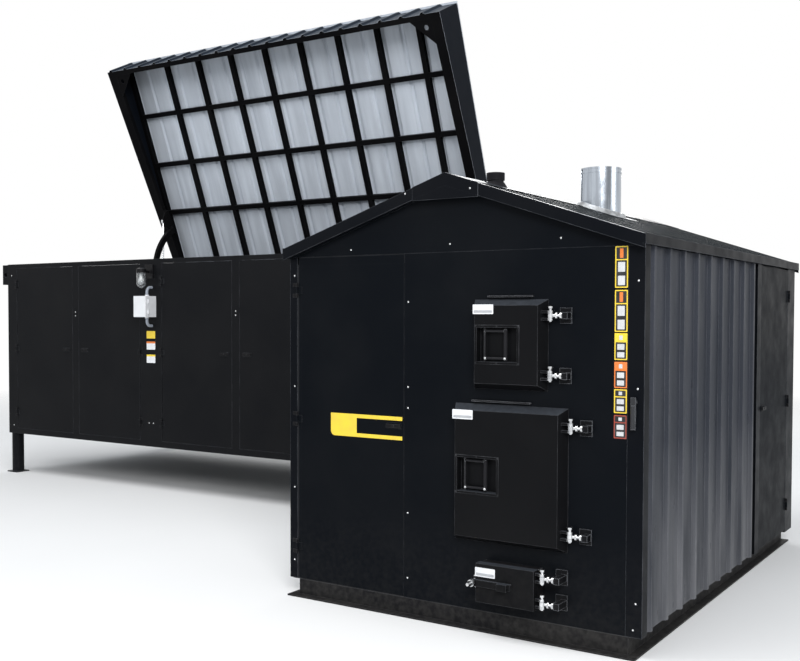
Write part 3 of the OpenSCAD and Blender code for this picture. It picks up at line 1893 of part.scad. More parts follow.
base_skid();
floor_pan();
house_frame();
front_panel();
gable_panels();
side_siding();
rear_panels();
corner_trims();
roof_panels();
roof_trims();
chimney_pipe();
chimney_flashing();
roof_vent();
water_jacket();
fire_grate();
heat_tubes();
door_collars();
hinge_brackets();
main_door();
main_handle();
upper_door();
upper_handle();
ash_door();
ash_clamp();
access_door();
access_latch();
rear_door();
rear_latch();
corner_lever();
feed_tube();
feed_auger();
auger_drives();
stoker_housing();
stoker_auger();
blower_housing();
blower_wheel();
water_pipes();
control_box();
bin_frame();
bin_walls();
bin_hopper();
bin_door_1();
bin_door_2();
bin_door_3();
bin_door_4();
bin_latch_1();
bin_latch_2();
bin_latch_3();
bin_latch_4();
lid_rim();
lid_grid();
lid_cladding();
lift_arm();
lift_cylinder();
lift_rod();
wall_lamp();
lamp_globe();
switch_box();
switch_cover();
door_hinges();
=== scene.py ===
"""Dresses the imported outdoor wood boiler: materials, fasteners, plates, light and camera."""

import json
import math

import bmesh
import bpy
from mathutils import Matrix, Vector

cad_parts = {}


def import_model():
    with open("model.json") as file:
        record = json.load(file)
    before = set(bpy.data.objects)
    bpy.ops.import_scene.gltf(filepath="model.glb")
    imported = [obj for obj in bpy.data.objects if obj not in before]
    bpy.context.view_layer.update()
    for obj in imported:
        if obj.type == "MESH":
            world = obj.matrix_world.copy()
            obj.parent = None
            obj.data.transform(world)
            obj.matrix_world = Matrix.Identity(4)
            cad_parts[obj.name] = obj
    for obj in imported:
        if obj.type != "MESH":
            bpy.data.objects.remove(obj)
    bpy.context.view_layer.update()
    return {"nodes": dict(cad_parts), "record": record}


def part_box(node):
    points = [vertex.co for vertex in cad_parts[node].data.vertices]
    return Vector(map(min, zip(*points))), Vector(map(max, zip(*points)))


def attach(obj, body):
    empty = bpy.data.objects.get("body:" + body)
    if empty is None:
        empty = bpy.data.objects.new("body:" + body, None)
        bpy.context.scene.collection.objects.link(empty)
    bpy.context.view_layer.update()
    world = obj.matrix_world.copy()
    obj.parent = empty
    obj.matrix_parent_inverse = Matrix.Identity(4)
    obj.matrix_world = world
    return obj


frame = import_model()
NODES = frame["nodes"]

# ------------------------------------------------------------------ sizes, in metres
EYE = Vector((2.700, -6.156, 1.600))  # where the photographer stood
YAW, PITCH, ROLL = 33.083, 1.809, -0.153  # degrees: turned left, tilted down, rolled
LENS, SENSOR = 46.35, 36.0  # millimetres
SHIFT = (0.0016, 0.0233)

LID_TRAVEL, SHEET_SLOPE = 64.0, 5.1  # degrees: the lid's swing, and its roof sheet's fall when shut
LID_TILT = math.radians(LID_TRAVEL + SHEET_SLOPE)  # the open lid's roof sheet, from level

BEVEL_ANGLE = math.radians(50)  # corners sharper than this are rounded
BEVELS = {"switch_box": 0.004, "switch_cover": 0.016, "main_door": 0.0015, "upper_door": 0.0015,
          "ash_door": 0.0012}

SPLASH_TOP, SPLASH_FOOT = 0.60, 0.02  # heights between which splashed dirt builds up
# heights between which the siding turns lighter towards its foot: dust and a painted floor
# reflection
SIDING_DUST_AND_REFLECTION_TOP, SIDING_DUST_AND_REFLECTION_FOOT = 1.00, 0.15
PIN_REACH = 0.0145  # a hinge lug's radius, bright round its pin
UPPER_FROM, MAIN_FROM = 1.20, 0.42  # heights that part the brackets of the three front doors
STUD_REACH = 0.064  # a bracket's bright part, right of its pin
STUD_BACK = -1.5425  # y behind which a bracket is painted
CONDUITS = (1.579, 1.791)  # the conduits run below and above these heights


# ------------------------------------------------------------------ shader building
class Shader:
    """A node material with one Principled shader and short calls for its inputs.

    node() takes a socket by name, or by number as i0, i1 and so on.
    """

    def __init__(self, name, **sockets):
        self.mat = bpy.data.materials.new(name)
        self.mat.use_nodes = True
        self.tree = self.mat.node_tree
        self.bsdf = self.tree.nodes["Principled BSDF"]
        self.coords = self.tree.nodes.new("ShaderNodeTexCoord")
        for socket, value in sockets.items():
            self.bsdf.inputs[socket.replace("_", " ")].default_value = value

    def node(self, kind, **inputs):
        new = self.tree.nodes.new("ShaderNode" + kind)
        for key, value in inputs.items():
            if hasattr(new, key) and key not in new.inputs:
                setattr(new, key, value)
                continue
            name = key.replace("_", " ")
            numbered = key[0] == "i" and key[1:].isdigit()
            self.put(new.inputs[int(key[1:]) if numbered else name], value)
        return new

    def put(self, socket, value):
        if isinstance(value, bpy.types.NodeSocket):
            self.tree.links.new(value, socket)
        else:
            socket.default_value = value

    def set(self, socket, value):
        self.put(self.bsdf.inputs[socket], value)

    def place(self, scale=(1, 1, 1)):
        """Object coordinates in metres, times scale."""
        return self.node("Mapping", Vector=self.coords.outputs["Object"], Scale=scale).outputs[0]

    def noise(self, scale, detail=3.0, stretch=(1, 1, 1)):
        return self.node(
            "TexNoise", Vector=self.place(stretch), Scale=scale, Detail=detail
        ).outputs["Fac"]

    def band(self, value, low, high, to_low=0.0, to_high=1.0):
        """value from low to high becomes to_low to to_high, and stays there outside."""
        return self.node(
            "MapRange", Value=value, From_Min=low, From_Max=high, To_Min=to_low, To_Max=to_high
        ).outputs[0]

    def math(self, operation, a, b=0.0):
        return self.node("Math", operation=operation, i0=a, i1=b).outputs[0]

    def mix(self, fac, a, b):
        new = self.node("Mix", data_type="RGBA")
        self.put(new.inputs[0], fac)
        self.put(new.inputs[6], a)
        self.put(new.inputs[7], b)
        return new.outputs[2]

    def mix_value(self, fac, a, b):
        new = self.node("Mix", data_type="FLOAT")
        self.put(new.inputs[0], fac)
        self.put(new.inputs[2], a)
        self.put(new.inputs[3], b)
        return new.outputs[0]

    def axis(self, letter):
        """The object coordinate along x, y or z."""
        split = self.node("SeparateXYZ", Vector=self.coords.outputs["Object"])
        return split.outputs["XYZ".index(letter.upper())]

    def edges(self, radius=0.004):
        """1 on sharp edges and 0 on flats."""
        bevel = self.node("Bevel", samples=4, Radius=radius)
        geometry = self.node("NewGeometry")
        dot = self.node("VectorMath", operation="DOT_PRODUCT")
        self.put(dot.inputs[0], bevel.outputs[0])
        self.put(dot.inputs[1], geometry.outputs["Normal"])
        return self.band(dot.outputs["Value"], 0.995, 0.90)

    def facing(self, direction, low, high):
        """1 where the surface looks along direction, in the row frame at rest."""
        dot = self.node("VectorMath", operation="DOT_PRODUCT")
        self.put(dot.inputs[0], self.coords.outputs["Normal"])
        self.put(dot.inputs[1], direction)
        return self.band(dot.outputs["Value"], low, high)

    def bump(self, layers):
        """layers are (height value, depth in metres)."""
        last = None
        for value, depth in layers:
            new = self.node("Bump", Height=value, Distance=depth, Strength=1.0)
            if last is not None:
                self.put(new.inputs["Normal"], last)
            last = new.outputs[0]
        self.set("Normal", last)


def rgb(r, g, b):
    return (r, g, b, 1.0)


def toned(colour, share, lift=0.0):
    """The colour at a share of its strength, lifted by a little white."""
    return rgb(*(min(1.0, c * share + lift) for c in colour[:3]))


DRY_DUST = rgb(0.20, 0.19, 0.175)
# pale blue of a painted sky highlight on faces that look up
SKY_HIGHLIGHT = rgb(0.115, 0.130, 0.155)
ZINC_BRIGHT, ZINC_DULL = rgb(0.78, 0.79, 0.80), rgb(0.50, 0.51, 0.53)
UP = (0.0, 0.0, 1.0)


def zinc_mask(s, axis_x, axis_y, reach):
    """1 within reach of an upright pin, and 0 on the rest of a door."""
    split = s.node("SeparateXYZ", Vector=s.coords.outputs["Object"])
    flat = s.node("CombineXYZ", X=split.outputs[0], Y=split.outputs[1])
    away = s.node("VectorMath", operation="DISTANCE")
    s.put(away.inputs[0], flat.outputs[0])
    s.put(away.inputs[1], (axis_x, axis_y, 0.0))
    return s.math("LESS_THAN", away.outputs["Value"], reach)


def painted(name, colour, rough=0.36, wear_and_highlight=rgb(0.10, 0.10, 0.105), wear_and_highlight_share=0.5, wave=0.0012,
            dust=0.015, spec=0.05, low=0.03, up=0.0, bright=None):
    """Powder-coated steel with edges lightened by rubbing and by a painted edge highlight, and
    dust.

    wear_and_highlight_share is how far the edges are lightened, wave the slackness of the sheet,
    dust the dust all over, low the grime near the ground, up the painted sky highlight on faces
    that look up, and bright a mask for plated parts.
    """
    s = Shader(name, Specular_IOR_Level=spec)
    cloud = s.noise(1.7, 4.0)
    fine = s.noise(38.0, 3.0)
    splash = s.band(s.axis("z"), SPLASH_TOP, SPLASH_FOOT)
    low_dirt = s.math("MULTIPLY", splash, s.band(fine, 0.35, 0.75))
    dusty = s.math("ADD", s.band(cloud, 0.40, 0.75, 0.0, dust), s.math("MULTIPLY", low_dirt, low))
    base = s.mix(dusty, colour, DRY_DUST)
    # faces that look up turn pale blue in patches: a painted sky highlight
    if up:
        patches = s.band(fine, 0.2, 0.7, 0.6 * up, up)
        sky_highlight_mask = s.math("MULTIPLY", s.facing(UP, 0.25, 0.90), patches)
        base = s.mix(sky_highlight_mask, base, SKY_HIGHLIGHT)
    # edges lightened towards the edge colour: partly rubbing of the paint, partly a painted edge
    # highlight
    wear_and_highlight_mask = s.math("MULTIPLY", s.edges(), s.band(s.noise(11.0), 0.35, 0.65, 0.35 * wear_and_highlight_share, wear_and_highlight_share))
    base = s.mix(wear_and_highlight_mask, base, wear_and_highlight)
    roughness = s.band(s.noise(9.0, 5.0), 0.3, 0.7, rough - 0.06, rough + 0.09)
    if bright:
        plated = bright(s)
        dulled = s.band(s.noise(45.0, 4.0), 0.35, 0.70)
        base = s.mix(plated, base, s.mix(dulled, ZINC_BRIGHT, ZINC_DULL))
        roughness = s.mix_value(plated, roughness, 0.26)
        s.set("Metallic", plated)
    s.set("Base Color", base)
    s.set("Roughness", roughness)
    s.bump([(s.noise(1.3, 1.0), wave * 8), (s.noise(420.0, 2.0), 0.00006)])
    return s.mat


def bare_metal(name, colour, rough=0.30, streak=(1, 1, 1), scale=30.0, dark=0.55, stain=None,
               depth=0.0001, haze=0.45):
    """Bare or plated metal with drawn streaks and, by haze, duller clouds of the colour stain."""
    s = Shader(name, Metallic=1.0)
    drawn = s.noise(scale, 6.0, streak)
    cloud = s.noise(5.0, 4.0, streak)
    low = toned(colour, dark)
    base = s.mix(s.band(drawn, 0.36, 0.60), low, colour)
    base = s.mix(s.band(cloud, 0.52, 0.72, 0.0, haze), base, stain or low)
    s.set("Base Color", base)
    s.set("Roughness", s.band(s.noise(14.0, 5.0), 0.3, 0.7, rough - 0.06, rough + 0.12))
    s.bump([(drawn, depth), (s.noise(260.0, 2.0), 0.00004)])
    return s.mat


def ribbed_siding(name):
    """Charcoal-coated sheet with a metallic sheen: soft runs, rib edges lightened by rubbing and a
    painted highlight, and a foot lightened by dust and a painted floor reflection.
    """
    s = Shader(name, Metallic=0.06, Specular_IOR_Level=0.025)
    runs = s.noise(7.0, 5.0, (1, 1, 0.12))
    fleck = s.node("TexVoronoi", Vector=s.place((1, 1, 0.6)), Scale=220.0).outputs["Distance"]
    base = s.mix(s.band(runs, 0.3, 0.7), rgb(0.019, 0.022, 0.029), rgb(0.033, 0.036, 0.046))
    base = s.mix(s.band(fleck, 0.1, 0.6, 0.0, 0.12), base, rgb(0.11, 0.115, 0.125))
    # rib edges lightened: partly rubbing of the paint, partly a painted edge highlight
    wear_and_highlight_mask = s.math("MULTIPLY", s.edges(0.006), s.band(s.noise(9.0), 0.35, 0.65, 0.15, 0.45))
    base = s.mix(wear_and_highlight_mask, base, rgb(0.16, 0.165, 0.18))
    # lighter grey towards the foot: dust together with a painted reflection of the floor
    height = s.band(s.axis("z"), SIDING_DUST_AND_REFLECTION_TOP, SIDING_DUST_AND_REFLECTION_FOOT)
    dust_and_reflection = s.math("MULTIPLY", height, s.band(runs, 0.32, 0.66, 0.1, 1.0))
    s.set("Base Color", s.mix(s.math("MULTIPLY", dust_and_reflection, 0.50), base, rgb(0.25, 0.25, 0.26)))
    s.set("Roughness", s.band(s.noise(11.0, 5.0, (1, 1, 0.3)), 0.3, 0.7, 0.26, 0.40))
    s.bump([(s.noise(1.5, 1.0), 0.006), (fleck, 0.00004)])
    return s.mat


def lid_sheet(name):
    """Roof sheet: black paint outside, with a painted blue-grey sky reflection where it looks up,
    and pale coated steel on the side that faces the bin.
    """
    s = Shader(name, Specular_IOR_Level=0.02)
    inward = (0.0, -math.sin(LID_TILT), -math.cos(LID_TILT))
    inner = s.facing(inward, 0.20, 0.30)
    runs = s.noise(6.0, 5.0, (1.6, 0.15, 0.15))
    silver = s.mix(s.band(runs, 0.3, 0.7), rgb(0.50, 0.54, 0.60), rgb(0.66, 0.71, 0.78))
    silver = s.mix(s.band(s.noise(2.2, 4.0), 0.50, 0.75, 0.0, 0.20), silver, rgb(0.40, 0.42, 0.45))
    # outside faces that look up turn blue-grey in patches: a painted sky reflection
    patches = s.band(s.noise(5.0), 0.35, 0.65, 0.40, 0.60)
    sky_highlight_mask = s.math("MULTIPLY", s.facing(UP, 0.30, 0.95), patches)
    outer = s.mix(sky_highlight_mask, rgb(0.006, 0.008, 0.012), rgb(0.048, 0.066, 0.094))
    s.set("Base Color", s.mix(inner, outer, silver))
    s.set("Metallic", s.math("MULTIPLY", inner, 0.15))
    s.set("Roughness", s.band(s.noise(9.0, 5.0), 0.3, 0.7, 0.30, 0.44))
    s.bump([(s.noise(1.5, 1.0), 0.006), (s.noise(380.0, 2.0), 0.00006)])
    return s.mat


def plastic(name, colour, rough, pipes=None):
    """Moulded plastic, aged in clouds. pipes is the colour of the conduits past CONDUITS."""
    s = Shader(name, Specular_IOR_Level=0.5)
    aged = s.band(s.noise(12.0, 4.0), 0.4, 0.7, 0.0, 0.35)
    base = s.mix(aged, colour, toned(colour, 0.80))
    if pipes:
        z = s.axis("z")
        below, above = s.math("LESS_THAN", z, CONDUITS[0]), s.math("GREATER_THAN", z, CONDUITS[1])
        base = s.mix(s.math("MAXIMUM", below, above), base, pipes)
    s.set("Base Color", base)
    s.set("Roughness", s.band(s.noise(30.0, 3.0), 0.3, 0.7, rough - 0.06, rough + 0.12))
    s.bump([(s.noise(700.0, 2.0), 0.00008)])
    return s.mat


def film(name, colour, rough=0.38):
    """Vinyl film, faded in clouds and scuffed."""
    s = Shader(name, Specular_IOR_Level=0.4)
    base = s.mix(s.band(s.noise(22.0, 4.0), 0.38, 0.68), colour, toned(colour, 0.86, 0.02))
    scuff = s.band(s.noise(120.0, 3.0, (1, 1, 3)), 0.62, 0.76, 0.0, 0.35)
    s.set("Base Color", s.mix(scuff, base, toned(colour, 0.55)))
    s.set("Roughness", s.band(s.noise(60.0, 3.0), 0.3, 0.7, rough - 0.08, rough + 0.14))
    s.bump([(s.noise(160.0, 2.0), 0.00004)])
    return s.mat


def globe_glass(name):
    """Clear pressed glass with a thin uneven film."""
    s = Shader(name, Transmission_Weight=0.95, IOR=1.45)
    cloudy = s.band(s.noise(40.0), 0.4, 0.7)
    s.set("Base Color", s.mix(cloudy, rgb(0.93, 0.95, 0.97), rgb(0.85, 0.88, 0.90)))
    s.set("Roughness", s.band(s.noise(25.0, 4.0), 0.3, 0.7, 0.02, 0.10))
    s.bump([(s.noise(90.0, 2.0), 0.0002)])
    return s.mat


def pin_of(door):
    """Where a door's hinge pin stands, as x and y."""
    rows = frame["record"]["behaviour"]["joints"]
    return next(row["pos_m"] for row in rows if row["name"] == f"{door}_hinge")[:2]


def bracket_plating(s):
    """Bright studs and eyes, while the blocks and wall plates behind them are painted."""
    split = s.node("SeparateXYZ", Vector=s.coords.outputs["Object"])
    x, y, z = split.outputs
    upper, main, ash = (pin_of(door)[0] + STUD_REACH
                        for door in ("upper_door", "main_door", "ash_door"))
    limit = s.mix_value(s.math("GREATER_THAN", z, MAIN_FROM), ash, main)
    limit = s.mix_value(s.math("GREATER_THAN", z, UPPER_FROM), limit, upper)
    return s.math("MULTIPLY", s.math("LESS_THAN", x, limit), s.math("LESS_THAN", y, STUD_BACK))


def door_paint(name, door):
    """The paint of a front door, with bright lugs round its pin."""
    x, y = pin_of(door)
    # the edge colour and up here give a painted edge highlight and a painted sky highlight on the
    # door's top faces
    return painted(name, rgb(0.0048, 0.0050, 0.0058), 0.33, rgb(0.10, 0.102, 0.11), 0.7, 0.0002,
                   0.008, up=0.30, bright=lambda s: zinc_mask(s, x, y, PIN_REACH))


BLACK = rgb(0.0034, 0.0044, 0.0062)
ZINC = bare_metal("zinc", rgb(0.80, 0.81, 0.82), 0.26, scale=90.0, dark=0.75, haze=0.2)

# One material for each slot of the record, and OWN for nodes that differ from their slot
# in the painted() calls below and in OWN, the colour after the roughness tints the edges by rubbing
# and a painted edge highlight, and up sets a painted sky highlight
SHEETS = {
    "skid": painted("skid", rgb(0.010, 0.010, 0.011), 0.50, dust=0.06, wave=0.0005, low=0.10),
    "floor": painted("floor", rgb(0.035, 0.035, 0.037), 0.55, dust=0.20),
    "frame_tube": painted("frame_tube", rgb(0.020, 0.021, 0.023), 0.45, wave=0.0002),
    "black_panel": painted("black_panel", BLACK, 0.34, rgb(0.06, 0.062, 0.068), 0.5, spec=0.035,
                           up=0.05),
    "ribbed_siding": ribbed_siding("ribbed_siding"),
    # the trim's bright blue-grey edges and up share are a painted highlight along its top edges,
    # with some rubbing
    "trim": painted("trim", rgb(0.0040, 0.0048, 0.0066), 0.34, rgb(0.17, 0.18, 0.20), 0.5, 0.0004,
                    spec=0.03, up=0.22),
    "roof_sheet": painted("roof_sheet", rgb(0.011, 0.014, 0.016), 0.36, dust=0.05, spec=0.03),
    "chimney_steel": bare_metal("chimney_steel", rgb(0.64, 0.70, 0.78), 0.16, (1, 1, 0.04), 19.0,
                                0.34, haze=0.35),
    "flashing": bare_metal("flashing", rgb(0.50, 0.52, 0.54), 0.34, (1, 1, 1), 24.0, haze=0.6),
    "vent_black": painted("vent_black", rgb(0.010, 0.010, 0.012), 0.50),
    "jacket_steel": painted("jacket_steel", rgb(0.050, 0.050, 0.054), 0.60, dust=0.25),
    "grate_iron": painted("grate_iron", rgb(0.060, 0.050, 0.045), 0.75, dust=0.50),
    "smoke_tube_steel": bare_metal("smoke_tube_steel", rgb(0.30, 0.29, 0.28), 0.55),
    "collar_steel": painted("collar_steel", rgb(0.0080, 0.0080, 0.0095), 0.45,
                            rgb(0.30, 0.31, 0.33), 0.8, dust=0.02),
    "hinge_steel": painted("hinge_steel", rgb(0.0065, 0.0068, 0.0080), 0.36, rgb(0.25, 0.26, 0.28),
                           0.8, 0.0, bright=bracket_plating),
    "cast_door": door_paint("cast_door", "main_door"),
    "handle_steel": painted("handle_steel", rgb(0.014, 0.014, 0.016), 0.34, rgb(0.30, 0.31, 0.32),
                            0.9, 0.0),
    "clamp_steel": bare_metal("clamp_steel", rgb(0.80, 0.81, 0.82), 0.24, scale=70.0, dark=0.65),
    "latch_black": painted("latch_black", rgb(0.0090, 0.0090, 0.0100), 0.34, wave=0.0),
    "feed_pipe": painted("feed_pipe", rgb(0.020, 0.020, 0.022), 0.48, dust=0.12),
    "auger_steel": bare_metal("auger_steel", rgb(0.42, 0.41, 0.40), 0.42, scale=40.0),
    "drive_paint": painted("drive_paint", rgb(0.040, 0.055, 0.075), 0.45, dust=0.15, wave=0.0),
    "blower_metal": painted("blower_metal", rgb(0.030, 0.030, 0.033), 0.45, wave=0.0),
    "wheel_metal": bare_metal("wheel_metal", rgb(0.62, 0.63, 0.65), 0.34),
    "pipe_copper": bare_metal("pipe_copper", rgb(0.72, 0.36, 0.20), 0.34, (1, 0.1, 1), 50.0, 0.6,
                              rgb(0.20, 0.12, 0.08)),
    "box_grey": painted("box_grey", rgb(0.42, 0.43, 0.44), 0.45, rgb(0.6, 0.6, 0.6), wave=0.0),
    "bin_tube": painted("bin_tube", rgb(0.0046, 0.0052, 0.0066), 0.38, rgb(0.12, 0.125, 0.14), 0.7,
                        0.0002, up=0.15),
    "bin_sheet": painted("bin_sheet", rgb(0.0064, 0.0068, 0.0080), 0.36, rgb(0.09, 0.094, 0.104),
                         0.7),
    "hopper_steel": painted("hopper_steel", rgb(0.040, 0.040, 0.043), 0.50, dust=0.30),
    "lid_tube": painted("lid_tube", rgb(0.0034, 0.0034, 0.0040), 0.42, rgb(0.04, 0.041, 0.045),
                        wave=0.0, spec=0.02),
    "lid_sheet": lid_sheet("lid_sheet"),
    "cylinder_black": painted("cylinder_black", rgb(0.008, 0.008, 0.010), 0.22, wave=0.0, spec=0.2),
    "chrome_rod": bare_metal("chrome_rod", rgb(0.82, 0.83, 0.85), 0.12, (1, 1, 0.1), 80.0, 0.9,
                             depth=0.00002),
    "lamp_metal": painted("lamp_metal", rgb(0.006, 0.006, 0.007), 0.24, wave=0.0, spec=0.15),
    "globe_glass": globe_glass("globe_glass"),
    "switch_plastic": plastic("switch_plastic", rgb(0.74, 0.75, 0.77), 0.38),
}
OWN = {
    "upper_door": door_paint("cast_door_upper", "upper_door"),
    "ash_door": door_paint("cast_door_ash", "ash_door"),
    "rear_door": painted("rear_leaf", BLACK, 0.34, rgb(0.06, 0.062, 0.068), 0.5, spec=0.012),
    "corner_lever": painted("lever_grey", rgb(0.016, 0.017, 0.020), 0.26, rgb(0.30, 0.31, 0.33),
                            0.7, 0.0, spec=0.4),
    "switch_box": plastic("switch_body", rgb(0.74, 0.75, 0.77), 0.38, rgb(0.30, 0.33, 0.38)),
}

for row in frame["record"]["subparts"]:
    target = NODES[row["node"]]
    target.data.materials.clear()
    target.data.materials.append(OWN.get(row["node"]) or SHEETS[row["material_slot"]])

for name, width in BEVELS.items():
    rounding = NODES[name].modifiers.new("rounding", "BEVEL")
    rounding.width = width
    rounding.segments = 3
    rounding.limit_method = "ANGLE"
    rounding.angle_limit = BEVEL_ANGLE
    rounding.harden_normals = False


# ------------------------------------------------------------------ mesh helpers
def frame_at(place, normal):
    """Local axes with z along the normal and y as near as can be to the upright."""
    z = Vector(normal).normalized()
    x = Vector(UP).cross(z).normalized()
    rotation = Matrix((x, z.cross(x), z)).transposed()
    return Matrix.Translation(place) @ rotation.to_4x4()


def seat(place, inward):
    """Where a line from place along inward first meets the CAD model, and the face's normal."""
    graph = bpy.context.evaluated_depsgraph_get()
    hit, point, normal, *_ = bpy.context.scene.ray_cast(graph, Vector(place), Vector(inward))
    if not hit:
        raise ValueError(f"nothing carries a piece at {tuple(place)}")
    return point, normal


def made(name, body, material, fill):
    """Makes a piece whose mesh fill() builds, riding on a body."""
    mesh = bpy.data.meshes.new(name)
    bm = bmesh.new()
    fill(bm)
    bm.normal_update()
    bm.to_mesh(mesh)
    bm.free()
    obj = bpy.data.objects.new(name, mesh)
    bpy.context.scene.collection.objects.link(obj)
    mesh.materials.append(material)
    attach(obj, body)


def loops(bm, rings):
    """Skins a stack of point rings and caps both ends."""
    verts = [[bm.verts.new(p) for p in ring] for ring in rings]
    count = len(verts[0])
    for low, high in zip(verts, verts[1:]):
        for i in range(count):
            j = (i + 1) % count
            bm.faces.new((low[i], low[j], high[j], high[i]))
    bm.faces.new(verts[0][::-1])
    bm.faces.new(verts[-1])


CORNER_STEPS = 4
LEAST_RADIUS, CHAMFER = 0.0001, 0.0002


def rounded(u0, v0, u1, v1, radii, inset=0.0):
    """A rectangle's outline with a radius for each corner, from the low left one round."""
    u0, v0, u1, v1 = u0 + inset, v0 + inset, u1 - inset, v1 - inset
    radii = [max(r - inset, LEAST_RADIUS) for r in radii]
    corners = [(u0, v0, 180), (u1, v0, 270), (u1, v1, 0), (u0, v1, 90)]
    points = []
    for (u, v, start), r in zip(corners, radii):
        cu = u + (r if u == u0 else -r)
        cv = v + (r if v == v0 else -r)
        for k in range(CORNER_STEPS + 1):
            a = math.radians(start + 90 * k / CORNER_STEPS)
            points.append((cu + r * math.cos(a), cv + r * math.sin(a)))
    return points


def slab(bm, at, rect, radii, low, high):
    """A flat plate with rounded corners and a chamfered front edge."""
    rings = [(rounded(*rect, radii), low), (rounded(*rect, radii), high - CHAMFER),
             (rounded(*rect, radii, CHAMFER), high)]
    loops(bm, [[at @ Vector((u, v, w)) for u, v in ring] for ring, w in rings])


# Rings of a screw head from its foot up: radius and height as shares, and whether it is a hexagon
HEAD_PROFILE = ((1.00, -0.10, False), (1.00, 0.10, False), (0.66, 0.26, False), (0.62, 0.30, True),
                (0.62, 0.85, True), (0.52, 1.00, True))


def hex_head(bm, at, size, tall):
    """A flanged hexagon screw head with a domed flange and a chamfered crown."""
    rings = []
    for radius, height, hexagon in HEAD_PROFILE:
        ring = []
        for k in range(12):
            a = math.radians(30 * k)
            pinch = math.cos(math.radians(30)) if hexagon and k % 2 else 1.0
            r = size * radius * pinch
            ring.append(at @ Vector((r * math.cos(a), r * math.sin(a), tall * height)))
        rings.append(ring)
    loops(bm, rings)


def screws(name, body, slot, material, starts, inward, size, tall):
    """Screw heads seated on whatever lies inward from each start."""
    def fill(bm):
        for start in starts:
            point, normal = seat(start, inward)
            outward = normal if normal.dot(Vector(inward)) < 0 else -normal
            hex_head(bm, frame_at(point, outward), size, tall)

    made(name, body, material, fill)


# ------------------------------------------------------------------ fasteners
BACK, FRONT = (0, 1, 0), (0, -1, 0)
AHEAD, BEHIND, BIN_AHEAD = -1.90, 1.90, 0.2  # y before and behind the house, and before the bin

# x and z of each screw
PANEL_SCREWS = ((-0.625, 1.966), (0.005, 1.976), (0.626, 1.983), (-0.240, 2.245), (0.150, 2.249),
                (-0.250, 1.678), (-0.250, 1.225), (-0.250, 1.113), (-0.250, 0.55), (-0.250, 0.20))
TRIM_SCREWS = ((1.020, 1.770), (1.020, 1.266), (1.020, 0.256), (1.008, 0.130), (-1.020, 1.832),
               (-1.020, 1.20), (-1.020, 0.62), (-1.020, 0.20))
REAR_SCREW_XS, REAR_SCREW_ZS = (-1.020, -0.68, 0.02, 0.72, 1.020), (0.16, 0.72, 1.28, 1.84)
BIN_SCREWS = ((-5.377, 1.636), (-5.377, 1.600), (-3.313, 1.644), (-3.313, 1.608), (-4.372, 0.617),
              (-4.318, 0.617), (-6.351, 2.006), (-6.330, 0.483), (-2.330, 2.006), (-2.330, 0.483))
LOOP_DROP, LOOP_INSET = 0.069, 0.010  # a handle's end screws, below its middle and in from a side

# Radius and height of the screw heads
PANEL_HEAD, REAR_HEAD = (0.0050, 0.0035), (0.0075, 0.0045)
BIN_HEAD, HANDLE_HEAD = (0.0060, 0.0040), (0.0065, 0.0045)

screws("house_screws", "house", "clamp_steel", ZINC,
       [(x, AHEAD, z) for x, z in PANEL_SCREWS + TRIM_SCREWS], BACK, *PANEL_HEAD)
screws("rear_wall_screws", "house", "latch_black", SHEETS["latch_black"],
       [(x, BEHIND, z) for x in REAR_SCREW_XS for z in REAR_SCREW_ZS], FRONT, *REAR_HEAD)
screws("bin_screws", "house", "clamp_steel", ZINC,
       [(x, BIN_AHEAD, z) for x, z in BIN_SCREWS], BACK, *BIN_HEAD)

for handle in ("main_handle", "upper_handle"):
    low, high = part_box(handle)
    bar_z = (low.z + high.z) / 2 - LOOP_DROP
    screws(f"{handle}_ends", handle, "clamp_steel", ZINC,
           [(x, AHEAD, bar_z) for x in (low.x + LOOP_INSET, high.x - LOOP_INSET)], BACK,
           *HANDLE_HEAD)


# ------------------------------------------------------------------ bare plates
WHITE = film("plate_white", rgb(0.80, 0.81, 0.83))
YELLOW = film("plate_yellow", rgb(0.86, 0.62, 0.045))
ORANGE = film("plate_orange", rgb(0.78, 0.20, 0.035))
RED = film("plate_red", rgb(0.30, 0.050, 0.030))
DARK = film("plate_dark", rgb(0.012, 0.012, 0.014))
GREY = film("plate_grey", rgb(0.42, 0.43, 0.45))
PALE = film("plate_pale", rgb(0.60, 0.61, 0.62))

PLATE_RADIUS, PLATE_THICK, PLATE_SUNK = 0.003, 0.0008, 0.0002
FILM_RADIUS, FILM_THICK, FILM_SUNK = 0.0018, 0.0004, 0.0001


def plate(name, body, rect, start_y, material, parts=()):
    """A bare plate facing the front: rect is x0, z0, x1, z1. Parts lie on it in its own sizes, and
    each gives its rectangle, its film and how many films lie under it."""
    x0, z0, x1, z1 = rect
    point, _ = seat(((x0 + x1) / 2, start_y, (z0 + z1) / 2), BACK)
    at = frame_at((0.0, point.y, 0.0), FRONT)
    made(name, body, material,
         lambda bm: slab(bm, at, rect, [PLATE_RADIUS] * 4, -PLATE_SUNK, PLATE_THICK))
    for k, (inner, paint, under) in enumerate(parts):
        u0, v0, u1, v1 = inner
        foot = PLATE_THICK + FILM_THICK * under
        made(f"{name}_{k}", body, paint,
             lambda bm: slab(bm, at, (x0 + u0, z0 + v0, x0 + u1, z0 + v1), [FILM_RADIUS] * 4,
                             foot - FILM_SUNK, foot + FILM_THICK))


DOOR_PLATES = {"upper_door": (0.176, 1.614, 0.292, 1.662),
               "main_door": (0.060, 1.080, 0.178, 1.128),
               "ash_door": (0.222, 0.300, 0.334, 0.346)}
BAR_EDGE, BAR_TOP = 0.006, 0.019  # the grey bar along the foot of each door's plate
for door, rect in DOOR_PLATES.items():
    wide = rect[2] - rect[0]
    plate(f"{door}_plate", door, rect, AHEAD, WHITE,
          [((BAR_EDGE, BAR_EDGE, wide - BAR_EDGE, BAR_TOP), GREY, 0)])

